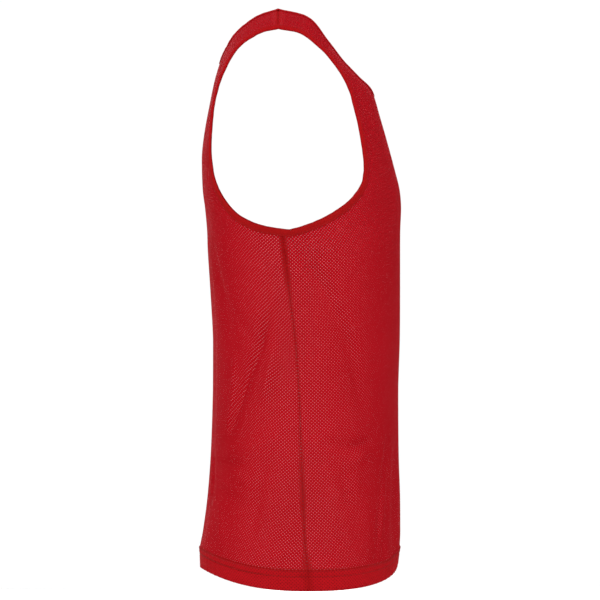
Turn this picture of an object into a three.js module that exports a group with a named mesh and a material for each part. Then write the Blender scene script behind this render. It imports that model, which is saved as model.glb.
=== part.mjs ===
import * as THREE from "three";

// A sleeveless training bib, hanging on a general figure that isn't there.
// Sizes in mm: x to the wearer's left, y to the back, z up, origin between the shoulder seams.

const WALL = 2;
const SEAM_GAP = 0.3;
const BINDING_GAP = 0.5;
const BINDING = 8;
const BINDING_ABOVE = 0.5;
const BINDING_BELOW = 2.5;
const BINDING_ROUND = 0.1;
const NOSE_SET = 0.9;
const HEM_LEVEL = -698;
const HEM_DEPTH = 25;
const HEM_STEP = 2;
const HEM_DOUBLING = 0.7;
const HEM_ROLL = 0.6;
const QUARTER = 90;
const CLOTH_COLOUR = 0xb4242c;
const BINDING_COLOUR = 0x9c191a;

// Grid of each half panel: columns below the neck, below the strap and below the armhole, and its rows.
const NECK_COLUMNS = 4;
const STRAP_COLUMNS = 4;
const SIDE_COLUMNS = 8;
const BODY_ROWS = 17;
const CHEST_ROWS = 5;
const STRAP_ROWS = 6;
const NECK_TURN_AT_HEM = 20;
const STRAP_TURN_AT_HEM = 48;
const NECK_TURN_AT_CHEST = 22;

// The body's level sections from the hem up: how far forward, back and out the cloth stands at each,
// where the side seam runs, and how square the section is in front and behind.
const BODY = [
  { z: -698, front: -144.2, back: 93.6, seam: -37.4, width: 214, squareFront: 2.3, squareBack: 2.4 },
  { z: -673, front: -146.4, back: 94.2, seam: -35.4, width: 213.5, squareFront: 2.3, squareBack: 2.4 },
  { z: -650, front: -147.6, back: 91.2, seam: -32.8, width: 212.5, squareFront: 2.3, squareBack: 2.4 },
  { z: -600, front: -147.4, back: 85.6, seam: -30.2, width: 210.5, squareFront: 2.3, squareBack: 2.4 },
  { z: -540, front: -145.7, back: 81.5, seam: -28.0, width: 208, squareFront: 2.3, squareBack: 2.4 },
  { z: -460, front: -145.2, back: 79.0, seam: -25.0, width: 206.5, squareFront: 2.3, squareBack: 2.4 },
  { z: -400, front: -147.0, back: 78.8, seam: -20.8, width: 206.5, squareFront: 2.3, squareBack: 2.4 },
  { z: -340, front: -147.4, back: 82.0, seam: -13.5, width: 207, squareFront: 2.35, squareBack: 2.5 },
  { z: -290, front: -147.4, back: 85.2, seam: -7.6, width: 207, squareFront: 2.4, squareBack: 2.7 },
  { z: -266.4, front: -147.6, back: 86.0, seam: -5.0, width: 206.5, squareFront: 2.3, squareBack: 2.8 },
  { z: -240, front: -148.6, back: 88.4, seam: -4.2, width: 205, squareFront: 2.2, squareBack: 3.0 },
  { z: -218, front: -146.8, back: 91.2, seam: -4.4, width: 203, squareFront: 2.2, squareBack: 3.1 },
];

// Where a half panel's strap begins, and its rows from there to the shoulder seam. Each row runs from the
// centre line or the neckline (nX, nY, nZ) to the armhole's edge (aX, aY, aZ); reach is how many times
// further out than that edge the form's half width lies.
const CHEST = {
  front: { z: -195, centre: -141.2, seam: -7.6, width: 201, square: 2.2, edge: -104.2, length: 245 },
  back: { z: -180, centre: 92.3, seam: -6.4, width: 192, square: 3.1, edge: 81.4, length: 215 },
};
const STRAP = {
  front: [
    { at: 0.11, nX: 0, nY: -134, nZ: -168, aX: 139.5, aY: -102.6, aZ: -171, reach: 1.5, square: 2.2 },
    { at: 0.25, nX: 0, nY: -124, nZ: -133, aX: 132.5, aY: -97, aZ: -138, reach: 1.7, square: 2.2 },
    { at: 0.37, nX: 0, nY: -113.0, nZ: -98, aX: 129, aY: -90, aZ: -110, reach: 1.9, square: 2.2 },
    { at: 0.45, nX: 45, nY: -98.6, nZ: -83, aX: 129, aY: -85.4, aZ: -95, reach: 2.2, square: 2.2 },
    { at: 0.53, nX: 58.5, nY: -88.0, nZ: -72.2, aX: 130, aY: -78.4, aZ: -80.5, reach: 2.4, square: 2.2 },
    { at: 0.6, nX: 66, nY: -78, nZ: -61.6, aX: 131, aY: -69.6, aZ: -67.2, reach: 2.5, square: 2.2 },
    { at: 0.73, nX: 73, nY: -60.4, nZ: -38.6, aX: 134, aY: -52.6, aZ: -47.6, reach: 2.6, square: 2.2 },
    { at: 0.87, nX: 77, nY: -37, nZ: -10.4, aX: 137, aY: -28, aZ: -29, reach: 2.8, square: 2.2 },
    { at: 1, nX: 78, nY: 0, nZ: 0, aX: 138, aY: 0, aZ: -22.8, reach: 3, square: 2.2 },
  ],
  back: [
    { at: 0.15, nX: 0, nY: 89.4, nZ: -151, aX: 122, aY: 81.4, aZ: -150, reach: 1.65, square: 2.9 },
    { at: 0.32, nX: 0, nY: 82.8, nZ: -115.2, aX: 119.5, aY: 78, aZ: -114, reach: 1.8, square: 2.6 },
    { at: 0.47, nX: 0, nY: 76.2, nZ: -84, aX: 121, aY: 71, aZ: -87, reach: 2.1, square: 2.4 },
    { at: 0.58, nX: 0, nY: 68.2, nZ: -58.4, aX: 125, aY: 62.2, aZ: -67, reach: 2.3, square: 2.3 },
    { at: 0.66, nX: 43, nY: 62.2, nZ: -46, aX: 128, aY: 54, aZ: -52.8, reach: 2.5, square: 2.2 },
    { at: 0.75, nX: 62, nY: 53.8, nZ: -32, aX: 131, aY: 44, aZ: -41.6, reach: 2.6, square: 2.2 },
    { at: 0.83, nX: 70, nY: 41.6, nZ: -20, aX: 133.5, aY: 32.6, aZ: -33.8, reach: 2.7, square: 2.2 },
    { at: 0.92, nX: 76, nY: 23, nZ: -7.6, aX: 136.5, aY: 17.6, aZ: -26.4, reach: 2.8, square: 2.2 },
    { at: 1, nX: 78, nY: 0, nZ: 0, aX: 138, aY: 0, aZ: -22.8, reach: 3, square: 2.2 },
  ],
};

// The neckline's lowest row and the row where it turns up along the strap.
const NECK_LOW = { front: 0.37, back: 0.58 };
const NECK_TURNS = { front: 0.56, back: 0.71 };

// The lower armhole seen from the side, from where the strap begins to the side seam.
const UNDERARM = {
  front: [
    { part: 0, y: -104.2, z: -195 },
    { part: 0.16, y: -101, z: -211 },
    { part: 0.32, y: -87.4, z: -229.6 },
    { part: 0.5, y: -69, z: -243.6 },
    { part: 0.67, y: -50.4, z: -253.8 },
    { part: 0.82, y: -30.4, z: -261.6 },
    { part: 0.93, y: -13.0, z: -266.2 },
    { part: 1, y: -5.0, z: -265.4 },
  ],
  back: [
    { part: 0, y: 81.4, z: -180 },
    { part: 0.16, y: 77.6, z: -203 },
    { part: 0.34, y: 67.6, z: -226 },
    { part: 0.52, y: 51.6, z: -245.4 },
    { part: 0.68, y: 33, z: -256.4 },
    { part: 0.84, y: 14.8, z: -262.2 },
    { part: 1, y: -5.0, z: -265.4 },
  ],
};

// How far the side of the hem hangs below its middle, dying out upwards.
const HEM_DIP = [
  { z: -698, front: 31, back: 25.5 },
  { z: -673, front: 25.5, back: 24.5 },
  { z: -640, front: 17.5, back: 17.5 },
  { z: -590, front: 10, back: 10 },
  { z: -520, front: 3.5, back: 3.5 },
  { z: -440, front: 0, back: 0 },
  { z: -360, front: 0, back: 0 },
];
const DIP_ROUND = { front: 0.1, back: 1 };
const DIP_POWER = { front: 0.85, back: 1.3 };

// The main soft folds. Each runs between two places on its panel, given as the turn from the centre line
// towards the side seam, in degrees, and the level; side is 1 on the wearer's left and -1 on the right.
// A fold's depth fades to a share at its ends, and to nothing at the centre line and the side seam.
const FORM_RADIUS = 150;
const FOLD_END = 0.15;
const CLEAR_OF_CENTRE = 10;
const CLEAR_OF_SEAM = 8;
const FOLDS = [
  { panel: "back", side: -1, turn: 73.8, z: -369, turnTo: 39, zTo: -514, broad: 12, deep: 3.8 },
  { panel: "back", side: -1, turn: 76.8, z: -403, turnTo: 65.8, zTo: -466, broad: 11, deep: -2.6 },
  { panel: "back", side: -1, turn: 30.2, z: -291, turnTo: 42.2, zTo: -395, broad: 14, deep: 3.5 },
  { panel: "back", side: -1, turn: 26, z: -548, turnTo: 50.8, zTo: -550, broad: 12, deep: 2 },
  { panel: "back", side: -1, turn: 65.5, z: -563, turnTo: 58.8, zTo: -628, broad: 14, deep: 2 },
  { panel: "front", side: -1, turn: 80, z: -304, turnTo: 55.5, zTo: -439, broad: 18, deep: 2.5 },
  { panel: "front", side: -1, turn: 42.2, z: -518, turnTo: 64.2, zTo: -526, broad: 12, deep: 2.5 },
  { panel: "front", side: -1, turn: 67.8, z: -554, turnTo: 61.2, zTo: -604, broad: 13, deep: 2 },
  { panel: "front", side: -1, turn: 16, z: -528, turnTo: 24, zTo: -660, broad: 17, deep: 6 },
  { panel: "back", side: 1, turn: 76, z: -360, turnTo: 40, zTo: -480, broad: 15, deep: 4.5 },
  { panel: "back", side: 1, turn: 22, z: -290, turnTo: 46, zTo: -350, broad: 14, deep: 3 },
  { panel: "back", side: 1, turn: 60, z: -545, turnTo: 52, zTo: -625, broad: 16, deep: 3.5 },
  { panel: "back", side: 1, turn: 12, z: -430, turnTo: 20, zTo: -560, broad: 18, deep: 3 },
  { panel: "front", side: 1, turn: 78, z: -300, turnTo: 54, zTo: -410, broad: 17, deep: 4.5 },
  { panel: "front", side: 1, turn: 46, z: -495, turnTo: 66, zTo: -520, broad: 13, deep: 3 },
  { panel: "front", side: 1, turn: 24, z: -545, turnTo: 30, zTo: -645, broad: 15, deep: 4 },
  { panel: "front", side: 1, turn: 52, z: -560, turnTo: 58, zTo: -640, broad: 14, deep: 3 },
];

// A smooth reading of a table at a place along its key column.
function readAt(rows, key, place) {
  const last = rows.length - 1;
  const held = Math.min(Math.max(place, rows[0][key]), rows[last][key]);
  let low = 0;
  while (low < last - 1 && held > rows[low + 1][key]) low += 1;
  const span = rows[low + 1][key] - rows[low][key];
  const part = (held - rows[low][key]) / span;
  const slope = (index, name) => {
    const before = Math.max(index - 1, 0);
    const after = Math.min(index + 1, last);
    return (rows[after][name] - rows[before][name]) / (rows[after][key] - rows[before][key]);
  };
  const reading = {};
  for (const name of Object.keys(rows[low])) {
    if (name === key) continue;
    const from = rows[low][name];
    const to = rows[low + 1][name];
    const rise = (to - from) / span;
    const easeIn = steadied(slope(low, name), rise);
    const easeOut = steadied(slope(low + 1, name), rise);
    const curved = part * (1 - part) * span * ((easeIn - rise) * (1 - part) - (easeOut - rise) * part);
    reading[name] = from + (to - from) * part + curved;
  }
  return reading;
}

// Keeps a slope from overshooting the rise that it leads into.
function steadied(slope, rise) {
  const most = 3 * Math.abs(rise);
  if (slope * rise <= 0) return 0;
  return Math.sign(slope) * Math.min(Math.abs(slope), most);
}

const setIn = (out, square) => 1 - (1 - out ** square) ** (1 / square);
const degrees = (radians) => (radians * 180) / Math.PI;
const radians = (turn) => (turn * Math.PI) / 180;

// The turn at which a section of this squareness stands a given share of its half width out.
function turnAtShare(share, square) {
  return degrees(Math.atan2(share, (1 - share ** square) ** (1 / square)));
}

// The form's rows for one panel: the crest at the centre line, the side, the half width and squareness.
function formRows(panel) {
  const rows = BODY.map((row) => ({
    level: row.z,
    crestY: row[panel],
    crestZ: row.z,
    sideY: row.seam,
    sideZ: row.z,
    width: row.width,
    square: panel === "front" ? row.squareFront : row.squareBack,
  }));
  const chest = CHEST[panel];
  rows.push({
    level: chest.z,
    crestY: chest.centre,
    crestZ: chest.z,
    sideY: chest.seam,
    sideZ: chest.z,
    width: chest.width,
    square: chest.square,
  });
  for (const row of STRAP[panel]) {
    const width = row.reach * row.aX;
    const armSet = setIn(row.aX / width, row.square);
    const neckSet = setIn(row.nX / width, row.square);
    const fallY = (row.aY - row.nY) / (armSet - neckSet);
    const fallZ = (row.aZ - row.nZ) / (armSet - neckSet);
    rows.push({
      level: chest.z + chest.length * row.at,
      crestY: row.nY - fallY * neckSet,
      crestZ: row.nZ - fallZ * neckSet,
      sideY: row.nY - fallY * neckSet + fallY,
      sideZ: row.nZ - fallZ * neckSet + fallZ,
      width,
      square: row.square,
    });
  }
  return rows;
}
const FORM = { front: formRows("front"), back: formRows("back") };

// The share of the hem's dip at a share of the way out; a small round makes it steep near the middle.
function dipShare(panel, out) {
  const round = DIP_ROUND[panel];
  return ((Math.hypot(out, round) - round) / (Math.hypot(1, round) - round)) ** DIP_POWER[panel];
}

// A place on the bare form: turn from the centre line to the side, level from the hem to the shoulder.
function formPoint(panel, turn, level) {
  const row = readAt(FORM[panel], "level", level);
  const sine = Math.sin(radians(turn));
  const cosine = Math.max(Math.cos(radians(turn)), 0);
  const reach = (sine ** row.square + cosine ** row.square) ** (1 / row.square);
  const out = sine / reach;
  const fall = 1 - cosine / reach;
  const lift = readAt(HEM_DIP, "z", level)[panel] * (1 - dipShare(panel, out));
  const y = row.crestY + (row.sideY - row.crestY) * fall;
  const z = row.crestZ + (row.sideZ - row.crestZ) * fall + lift;
  return new THREE.Vector3(row.width * out, y, z);
}

const TURN_STEP = 0.4;
const LEVEL_STEP = 1;
const topLevel = (panel) => CHEST[panel].z + CHEST[panel].length;

// The form's two directions at a place: along the turn and up the level, per degree and per mm.
function formDirections(panel, turn, level) {
  const turnLow = Math.max(turn - TURN_STEP, 0);
  const turnHigh = Math.min(turn + TURN_STEP, QUARTER);
  const levelLow = Math.max(level - LEVEL_STEP, HEM_LEVEL);
  const levelHigh = Math.min(level + LEVEL_STEP, topLevel(panel));
  const along = formPoint(panel, turnHigh, level).sub(formPoint(panel, turnLow, level));
  const up = formPoint(panel, turn, levelHigh).sub(formPoint(panel, turn, levelLow));
  return {
    along: along.divideScalar(turnHigh - turnLow),
    up: up.divideScalar(levelHigh - levelLow),
  };
}

// The outward direction; at the side and shoulder seams it lies across the seam for both panels alike.
function formNormal(panel, turn, level) {
  const { along, up } = formDirections(panel, turn, level);
  const outward = panel === "front" ? along.cross(up) : up.cross(along);
  const onSide = turn > QUARTER - TURN_STEP;
  const onShoulder = level > topLevel(panel) - LEVEL_STEP;
  if (turn < TURN_STEP) outward.x = 0;
  if (onSide || onShoulder) outward.y = 0;
  return outward.normalize();
}

// How far a fold sinks or lifts the cloth at a place.
function foldDepth(panel, side, turn, level) {
  const arc = radians(FORM_RADIUS);
  let depth = 0;
  for (const fold of FOLDS) {
    if (fold.panel !== panel || fold.side !== side) continue;
    const run = { x: (fold.turnTo - fold.turn) * arc, z: fold.zTo - fold.z };
    const off = { x: (turn - fold.turn) * arc, z: level - fold.z };
    const length = Math.hypot(run.x, run.z);
    const part = (off.x * run.x + off.z * run.z) / length ** 2;
    const nearest = Math.min(Math.max(part, 0), 1);
    const gap = Math.hypot(off.x - run.x * nearest, off.z - run.z * nearest);
    const fade = Math.sin(Math.PI * (FOLD_END + (1 - 2 * FOLD_END) * nearest));
    depth += fold.deep * fade * Math.exp(-((gap / fold.broad) ** 2));
  }
  const clearOfCentre = Math.min(turn / CLEAR_OF_CENTRE, 1);
  const clearOfSeam = Math.min((QUARTER - turn) / CLEAR_OF_SEAM, 1);
  return depth * clearOfCentre * clearOfSeam;
}

// How far the doubled hem stands out of the single cloth.
function hemLift(level) {
  const above = level - (HEM_LEVEL + HEM_DEPTH);
  if (above > 0) return HEM_ROLL * Math.max(1 - above / HEM_STEP, 0);
  return HEM_DOUBLING + HEM_ROLL * Math.exp(above / (HEM_DEPTH / 3));
}

// A point of the cloth's outer face, and the same point sunk by a depth into the wall.
function clothPoint(panel, side, turn, level, sunk) {
  const point = formPoint(panel, turn, level);
  const normal = formNormal(panel, turn, level);
  const inHem = level <= HEM_LEVEL + HEM_DEPTH;
  const out = hemLift(level) - foldDepth(panel, side, turn, level);
  const face = sunk > 0 ? out - sunk - (inHem ? HEM_DOUBLING : 0) : out - sunk;
  point.addScaledVector(normal, face);
  if (turn >= QUARTER || level >= topLevel(panel)) {
    point.y += panel === "front" ? -SEAM_GAP / 2 : SEAM_GAP / 2;
  }
  point.x *= side;
  return point;
}

// The armhole's edge where a strap has a given share of its length, and the neckline's.
function armholeOnStrap(panel, at) {
  const chest = CHEST[panel];
  const rows = [{ at: 0, turn: chestEdgeTurn(panel) }];
  for (const row of STRAP[panel]) rows.push({ at: row.at, turn: turnAtShare(1 / row.reach, row.square) });
  return { turn: readAt(rows, "at", at).turn, level: chest.z + chest.length * at };
}

function chestEdgeTurn(panel) {
  const chest = CHEST[panel];
  const inward = (chest.seam - chest.edge) / (chest.seam - chest.centre);
  const share = (1 - inward ** chest.square) ** (1 / chest.square);
  return turnAtShare(share, chest.square);
}

function necklineOnStrap(panel, at) {
  const chest = CHEST[panel];
  const rows = [];
  for (const row of STRAP[panel]) {
    if (row.nX > 0 || row.at === NECK_LOW[panel]) {
      const turn = turnAtShare(row.nX / (row.reach * row.aX), row.square);
      rows.push({ at: row.at, turn, bend: Math.sqrt(row.at - NECK_LOW[panel]) });
    }
  }
  const { turn } = readAt(rows, "bend", Math.sqrt(Math.max(at - NECK_LOW[panel], 0)));
  return { turn, level: chest.z + chest.length * at };
}

// The armhole's lower edge at a share of the way from the strap to the side seam.
function armholeUnderArm(panel, part) {
  const { y, z } = readAt(UNDERARM[panel], "part", part);
  const row = readAt(FORM[panel], "level", z);
  const inward = Math.max((row.sideY - y) / (row.sideY - row.crestY), 0);
  const share = (1 - inward ** row.square) ** (1 / row.square);
  return { turn: part >= 1 ? QUARTER : turnAtShare(share, row.square), level: z };
}

// A half panel's armhole edge from the shoulder seam down to the side seam.
function armholeEdge(panel) {
  const edge = [];
  const rows = CHEST_ROWS + STRAP_ROWS;
  const turnsAt = NECK_TURNS[panel];
  for (let row = rows; row > 0; row -= 1) {
    const at = row > CHEST_ROWS
      ? turnsAt + ((1 - turnsAt) * (row - CHEST_ROWS)) / STRAP_ROWS
      : (turnsAt * row) / CHEST_ROWS;
    edge.push(armholeOnStrap(panel, at));
  }
  for (let column = 0; column <= SIDE_COLUMNS; column += 1) {
    edge.push(armholeUnderArm(panel, column / SIDE_COLUMNS));
  }
  return edge;
}

// A half panel's neckline from the shoulder seam down to the centre line.
function necklineEdge(panel) {
  const edge = [];
  const turnsAt = NECK_TURNS[panel];
  for (let row = STRAP_ROWS; row >= 0; row -= 1) {
    edge.push(necklineOnStrap(panel, turnsAt + ((1 - turnsAt) * row) / STRAP_ROWS));
  }
  for (let column = NECK_COLUMNS - 1; column >= 0; column -= 1) {
    const bend = Math.sqrt(turnsAt - NECK_LOW[panel]) * (column / NECK_COLUMNS);
    edge.push(necklineOnStrap(panel, NECK_LOW[panel] + bend ** 2));
  }
  return edge;
}

// An edge moved across the cloth by a distance, towards the cloth: sense is 1 or -1.
function insetEdge(panel, edge, distance, sense) {
  return edge.map((place, index) => {
    const before = edge[Math.max(index - 1, 0)];
    const after = edge[Math.min(index + 1, edge.length - 1)];
    const { along, up } = formDirections(panel, place.turn, place.level);
    const aa = along.dot(along);
    const au = along.dot(up);
    const uu = up.dot(up);
    let turn = after.turn - before.turn;
    let level = after.level - before.level;
    const closesOnLevel = index === 0;
    const closesOnTurn = index === edge.length - 1;
    if (closesOnLevel) turn = -(au / aa) * level;
    if (closesOnTurn) level = 0;
    const offTurn = -(au * turn + uu * level);
    const offLevel = aa * turn + au * level;
    const size = Math.sqrt(aa * offTurn ** 2 + 2 * au * offTurn * offLevel + uu * offLevel ** 2);
    const share = (sense * distance) / size;
    return {
      turn: closesOnTurn ? place.turn : place.turn + offTurn * share,
      level: closesOnLevel ? place.level : place.level + offLevel * share,
    };
  });
}

const between = (from, to, part) => ({
  turn: from.turn + (to.turn - from.turn) * part,
  level: from.level + (to.level - from.level) * part,
});

// A half panel as columns of places, each from the hem to the edge above it.
function halfPanelColumns(panel) {
  const inset = BINDING + BINDING_GAP;
  const armhole = insetEdge(panel, armholeEdge(panel), inset, -1);
  const neckline = insetEdge(panel, necklineEdge(panel), inset, 1);
  const strapRows = CHEST_ROWS + STRAP_ROWS;
  const chestCorner = armhole[strapRows];
  const neckCorner = neckline[STRAP_ROWS];
  const hemTop = HEM_LEVEL + HEM_DEPTH;
  const neckFoot = { turn: NECK_TURN_AT_CHEST, level: chestCorner.level };
  const columns = [];
  const body = (turnAtHem, top) => {
    const places = [
      { turn: turnAtHem, level: HEM_LEVEL },
      { turn: turnAtHem, level: HEM_LEVEL + HEM_DEPTH / 2 },
      { turn: turnAtHem, level: hemTop },
    ];
    const foot = { turn: turnAtHem, level: hemTop + HEM_STEP };
    for (let row = 0; row <= BODY_ROWS; row += 1) places.push(between(foot, top, row / BODY_ROWS));
    return places;
  };
  const chest = (places, foot, top) => {
    for (let row = 1; row <= CHEST_ROWS; row += 1) places.push(between(foot, top, row / CHEST_ROWS));
  };
  for (let column = 0; column < NECK_COLUMNS; column += 1) {
    const part = column / NECK_COLUMNS;
    const foot = { turn: NECK_TURN_AT_CHEST * part, level: chestCorner.level };
    const places = body(NECK_TURN_AT_HEM * part, foot);
    chest(places, foot, neckline[neckline.length - 1 - column]);
    columns.push(places);
  }
  for (let column = 0; column <= STRAP_COLUMNS; column += 1) {
    const part = column / STRAP_COLUMNS;
    const foot = between(neckFoot, chestCorner, part);
    const turnAtHem = NECK_TURN_AT_HEM + (STRAP_TURN_AT_HEM - NECK_TURN_AT_HEM) * part;
    const places = body(turnAtHem, foot);
    for (let row = 1; row <= strapRows; row += 1) {
      const inner = row <= CHEST_ROWS
        ? between(neckFoot, neckCorner, row / CHEST_ROWS)
        : neckline[strapRows - row];
      places.push(between(inner, armhole[strapRows - row], part));
    }
    columns.push(places);
  }
  for (let column = 1; column <= SIDE_COLUMNS; column += 1) {
    const part = column / SIDE_COLUMNS;
    const turnAtHem = STRAP_TURN_AT_HEM + (QUARTER - STRAP_TURN_AT_HEM) * part;
    columns.push(body(turnAtHem, armhole[strapRows + column]));
  }
  return columns;
}

// A closed wall from a net of four-sided cells, with a rim wherever the net ends.
function wallFromCells(outer, inner, cells) {
  const points = [...outer, ...inner];
  const faces = [];
  const split = (a, b, c, d) => {
    if (points[a].distanceTo(points[c]) <= points[b].distanceTo(points[d])) faces.push(a, b, c, a, c, d);
    else faces.push(a, b, d, b, c, d);
  };
  const edges = new Set();
  for (const cell of cells) {
    cell.forEach((from, index) => edges.add(`${from}_${cell[(index + 1) % 4]}`));
  }
  for (const [a, b, c, d] of cells) {
    split(a, b, c, d);
    split(d + outer.length, c + outer.length, b + outer.length, a + outer.length);
    [[a, b], [b, c], [c, d], [d, a]].forEach(([from, to]) => {
      if (!edges.has(`${to}_${from}`)) split(to, from, from + outer.length, to + outer.length);
    });
  }
  return geometryOf(points, faces);
}

function geometryOf(points, faces) {
  const geometry = new THREE.BufferGeometry();
  const positions = points.flatMap((point) => [point.x, point.y, point.z]);
  geometry.setAttribute("position", new THREE.Float32BufferAttribute(positions, 3));
  geometry.setIndex(faces);
  geometry.computeVertexNormals();
  return geometry;
}

function panelGeometry(panel) {
  const columns = halfPanelColumns(panel);
  const outer = [];
  const inner = [];
  const numbers = new Map();
  const place = (side, column, row) => {
    const name = column === 0 ? `0_${row}` : `${side}_${column}_${row}`;
    if (!numbers.has(name)) {
      const { turn, level } = columns[column][row];
      numbers.set(name, outer.length);
      outer.push(clothPoint(panel, side, turn, level, 0));
      inner.push(clothPoint(panel, side, turn, level, WALL));
    }
    return numbers.get(name);
  };
  const cells = [];
  for (const side of [1, -1]) {
    for (let column = 0; column < columns.length - 1; column += 1) {
      const rows = Math.min(columns[column].length, columns[column + 1].length) - 1;
      for (let row = 0; row < rows; row += 1) {
        const cell = [
          place(side, column, row),
          place(side, column + 1, row),
          place(side, column + 1, row + 1),
          place(side, column, row + 1),
        ];
        const facesOut = (panel === "front") === (side === 1);
        cells.push(facesOut ? cell : cell.reverse());
      }
    }
  }
  return wallFromCells(outer, inner, cells);
}

// The folded tape's section at one place of an edge, from the cloth side round the nose.
function bindingSection(panel, side, edge, index, sense) {
  const far = insetEdge(panel, edge, BINDING, sense)[index];
  const middle = insetEdge(panel, edge, BINDING / 2, sense)[index];
  const nose = insetEdge(panel, edge, NOSE_SET, sense)[index];
  const rim = edge[index];
  const at = (place, height) => {
    const point = formPoint(panel, place.turn, place.level);
    point.addScaledVector(formNormal(panel, place.turn, place.level), height);
    point.x *= side;
    return point;
  };
  return [
    at(far, BINDING_ABOVE - BINDING_ROUND),
    at(middle, BINDING_ABOVE),
    at(nose, BINDING_ABOVE - 2 * BINDING_ROUND),
    at(rim, -WALL / 2),
    at(nose, 2 * BINDING_ROUND - BINDING_BELOW),
    at(middle, -BINDING_BELOW),
    at(far, BINDING_ROUND - BINDING_BELOW),
  ];
}

// A closed ring through sections, its faces turned out.
function ringGeometry(sections) {
  const size = sections[0].length;
  const points = sections.flat();
  const faces = [];
  sections.forEach((_, index) => {
    const here = index * size;
    const next = ((index + 1) % sections.length) * size;
    for (let corner = 0; corner < size; corner += 1) {
      const beside = (corner + 1) % size;
      faces.push([here + corner, here + beside, next + beside]);
      faces.push([here + corner, next + beside, next + corner]);
    }
  });
  const facesIn = volumeOf(points, faces) < 0;
  return geometryOf(points, (facesIn ? faces.map((face) => face.reverse()) : faces).flat());
}

function volumeOf(points, faces) {
  let volume = 0;
  for (const face of faces) {
    const [a, b, c] = face.map((corner) => points[corner]);
    volume += a.dot(new THREE.Vector3().crossVectors(b, c)) / 6;
  }
  return volume;
}

function sectionsAlong(panel, side, edge, sense) {
  return edge.map((_, index) => bindingSection(panel, side, edge, index, sense));
}

function armholeBinding(side) {
  const front = sectionsAlong("front", side, armholeEdge("front"), -1);
  const back = sectionsAlong("back", side, armholeEdge("back"), -1);
  return ringGeometry([...front, ...back.reverse().slice(1, -1)]);
}

function neckBinding() {
  const half = (panel, side) => sectionsAlong(panel, side, necklineEdge(panel), 1);
  return ringGeometry([
    ...half("front", 1),
    ...half("front", -1).reverse().slice(1),
    ...half("back", -1).slice(1),
    ...half("back", 1).reverse().slice(1, -1),
  ]);
}

function named(name, geometry, colour) {
  const material = new THREE.MeshStandardMaterial({ color: colour, roughness: 0.9 });
  const mesh = new THREE.Mesh(geometry, material);
  mesh.name = name;
  return mesh;
}

const bib = new THREE.Group();
bib.name = "training_bib";
bib.add(named("front_panel", panelGeometry("front"), CLOTH_COLOUR));
bib.add(named("back_panel", panelGeometry("back"), CLOTH_COLOUR));
bib.add(named("neck_binding", neckBinding(), BINDING_COLOUR));
bib.add(named("armhole_binding_right", armholeBinding(-1), BINDING_COLOUR));
bib.add(named("armhole_binding_left", armholeBinding(1), BINDING_COLOUR));

export default bib;
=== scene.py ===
# %% [markdown]
# # A mesh training bib, filled out as if worn
# A training bib is a sleeveless top that is pulled on over a sports shirt. It is two panels of
# open polyester mesh, sewn at the sides and on the shoulders. A folded tape binds the neck and
# both armholes, and the hem is turned up once and held by two rows of stitches.
# This lesson shapes each panel as a maker would think of it: a flat piece, laid over a form.

# %% Load the frame
import math
import random

import bpy
import numpy as np
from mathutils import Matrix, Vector


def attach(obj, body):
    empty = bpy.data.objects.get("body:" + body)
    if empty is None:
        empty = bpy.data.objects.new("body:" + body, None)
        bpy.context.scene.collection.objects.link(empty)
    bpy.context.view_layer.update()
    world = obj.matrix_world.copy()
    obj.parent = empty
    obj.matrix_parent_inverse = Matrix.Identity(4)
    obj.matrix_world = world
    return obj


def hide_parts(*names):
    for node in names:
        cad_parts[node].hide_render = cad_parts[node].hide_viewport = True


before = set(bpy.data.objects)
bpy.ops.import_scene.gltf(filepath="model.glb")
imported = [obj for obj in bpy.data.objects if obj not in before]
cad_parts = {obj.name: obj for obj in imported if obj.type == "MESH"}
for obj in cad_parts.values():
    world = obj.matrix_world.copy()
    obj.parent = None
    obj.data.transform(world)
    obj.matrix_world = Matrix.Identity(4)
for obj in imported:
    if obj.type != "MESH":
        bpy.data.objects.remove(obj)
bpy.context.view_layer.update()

MM = 0.001
MM_IN_METRE = 1000
print("pieces in the frame:", sorted(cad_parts))

# %% [markdown]
# ## The camera and the pale studio
# The bib is looked at straight from the wearer's right. A very long lens from far away takes
# nearly all the perspective out, and a hair of downward tilt lays the far shoulder behind the
# near one. So the white ground shows through both armholes as one opening.
# The frame's width is measured at the near side.

# %% Camera
LENS = 1400
SENSOR = 32
FRAME_WIDE = 0.72
LOOK_AT = Vector((-140, -26.4, -350)) * MM
LOOKING_DOWN = math.radians(0.37)

camera_data = bpy.data.cameras.new("studio_camera")
camera_data.lens = LENS
camera_data.sensor_width = SENSOR
camera_data.clip_start = 0.5
camera_data.clip_end = 120
camera = bpy.data.objects.new("studio_camera", camera_data)
bpy.context.collection.objects.link(camera)
distance = FRAME_WIDE * LENS / SENSOR
camera.location = LOOK_AT + distance * Vector((-math.cos(LOOKING_DOWN), 0, math.sin(LOOKING_DOWN)))
camera.rotation_euler = (LOOK_AT - camera.location).to_track_quat("-Z", "Y").to_euler()
bpy.context.scene.camera = camera
print("camera stands", round(distance, 2), "m away")

# %% [markdown]
# ## Light
# Product light for cloth is broad and soft. A big panel beside the camera lights the near side
# and lets the cloth fall off a little towards both edges. Panels on the other three sides and
# above keep those sides readable, and the white room fills in the rest. Two small lamps hang
# inside the bib, because light that comes through the holes tells the eye that this is mesh.

# %% Lights and room
def soft_panel(name, place, aim, wide, high, power):
    light = bpy.data.lights.new(name, "AREA")
    light.shape = "RECTANGLE"
    light.size = wide
    light.size_y = high
    light.energy = power
    panel = bpy.data.objects.new(name, light)
    bpy.context.collection.objects.link(panel)
    panel.location = place
    panel.rotation_euler = (Vector(aim) - Vector(place)).to_track_quat("-Z", "Y").to_euler()


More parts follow.
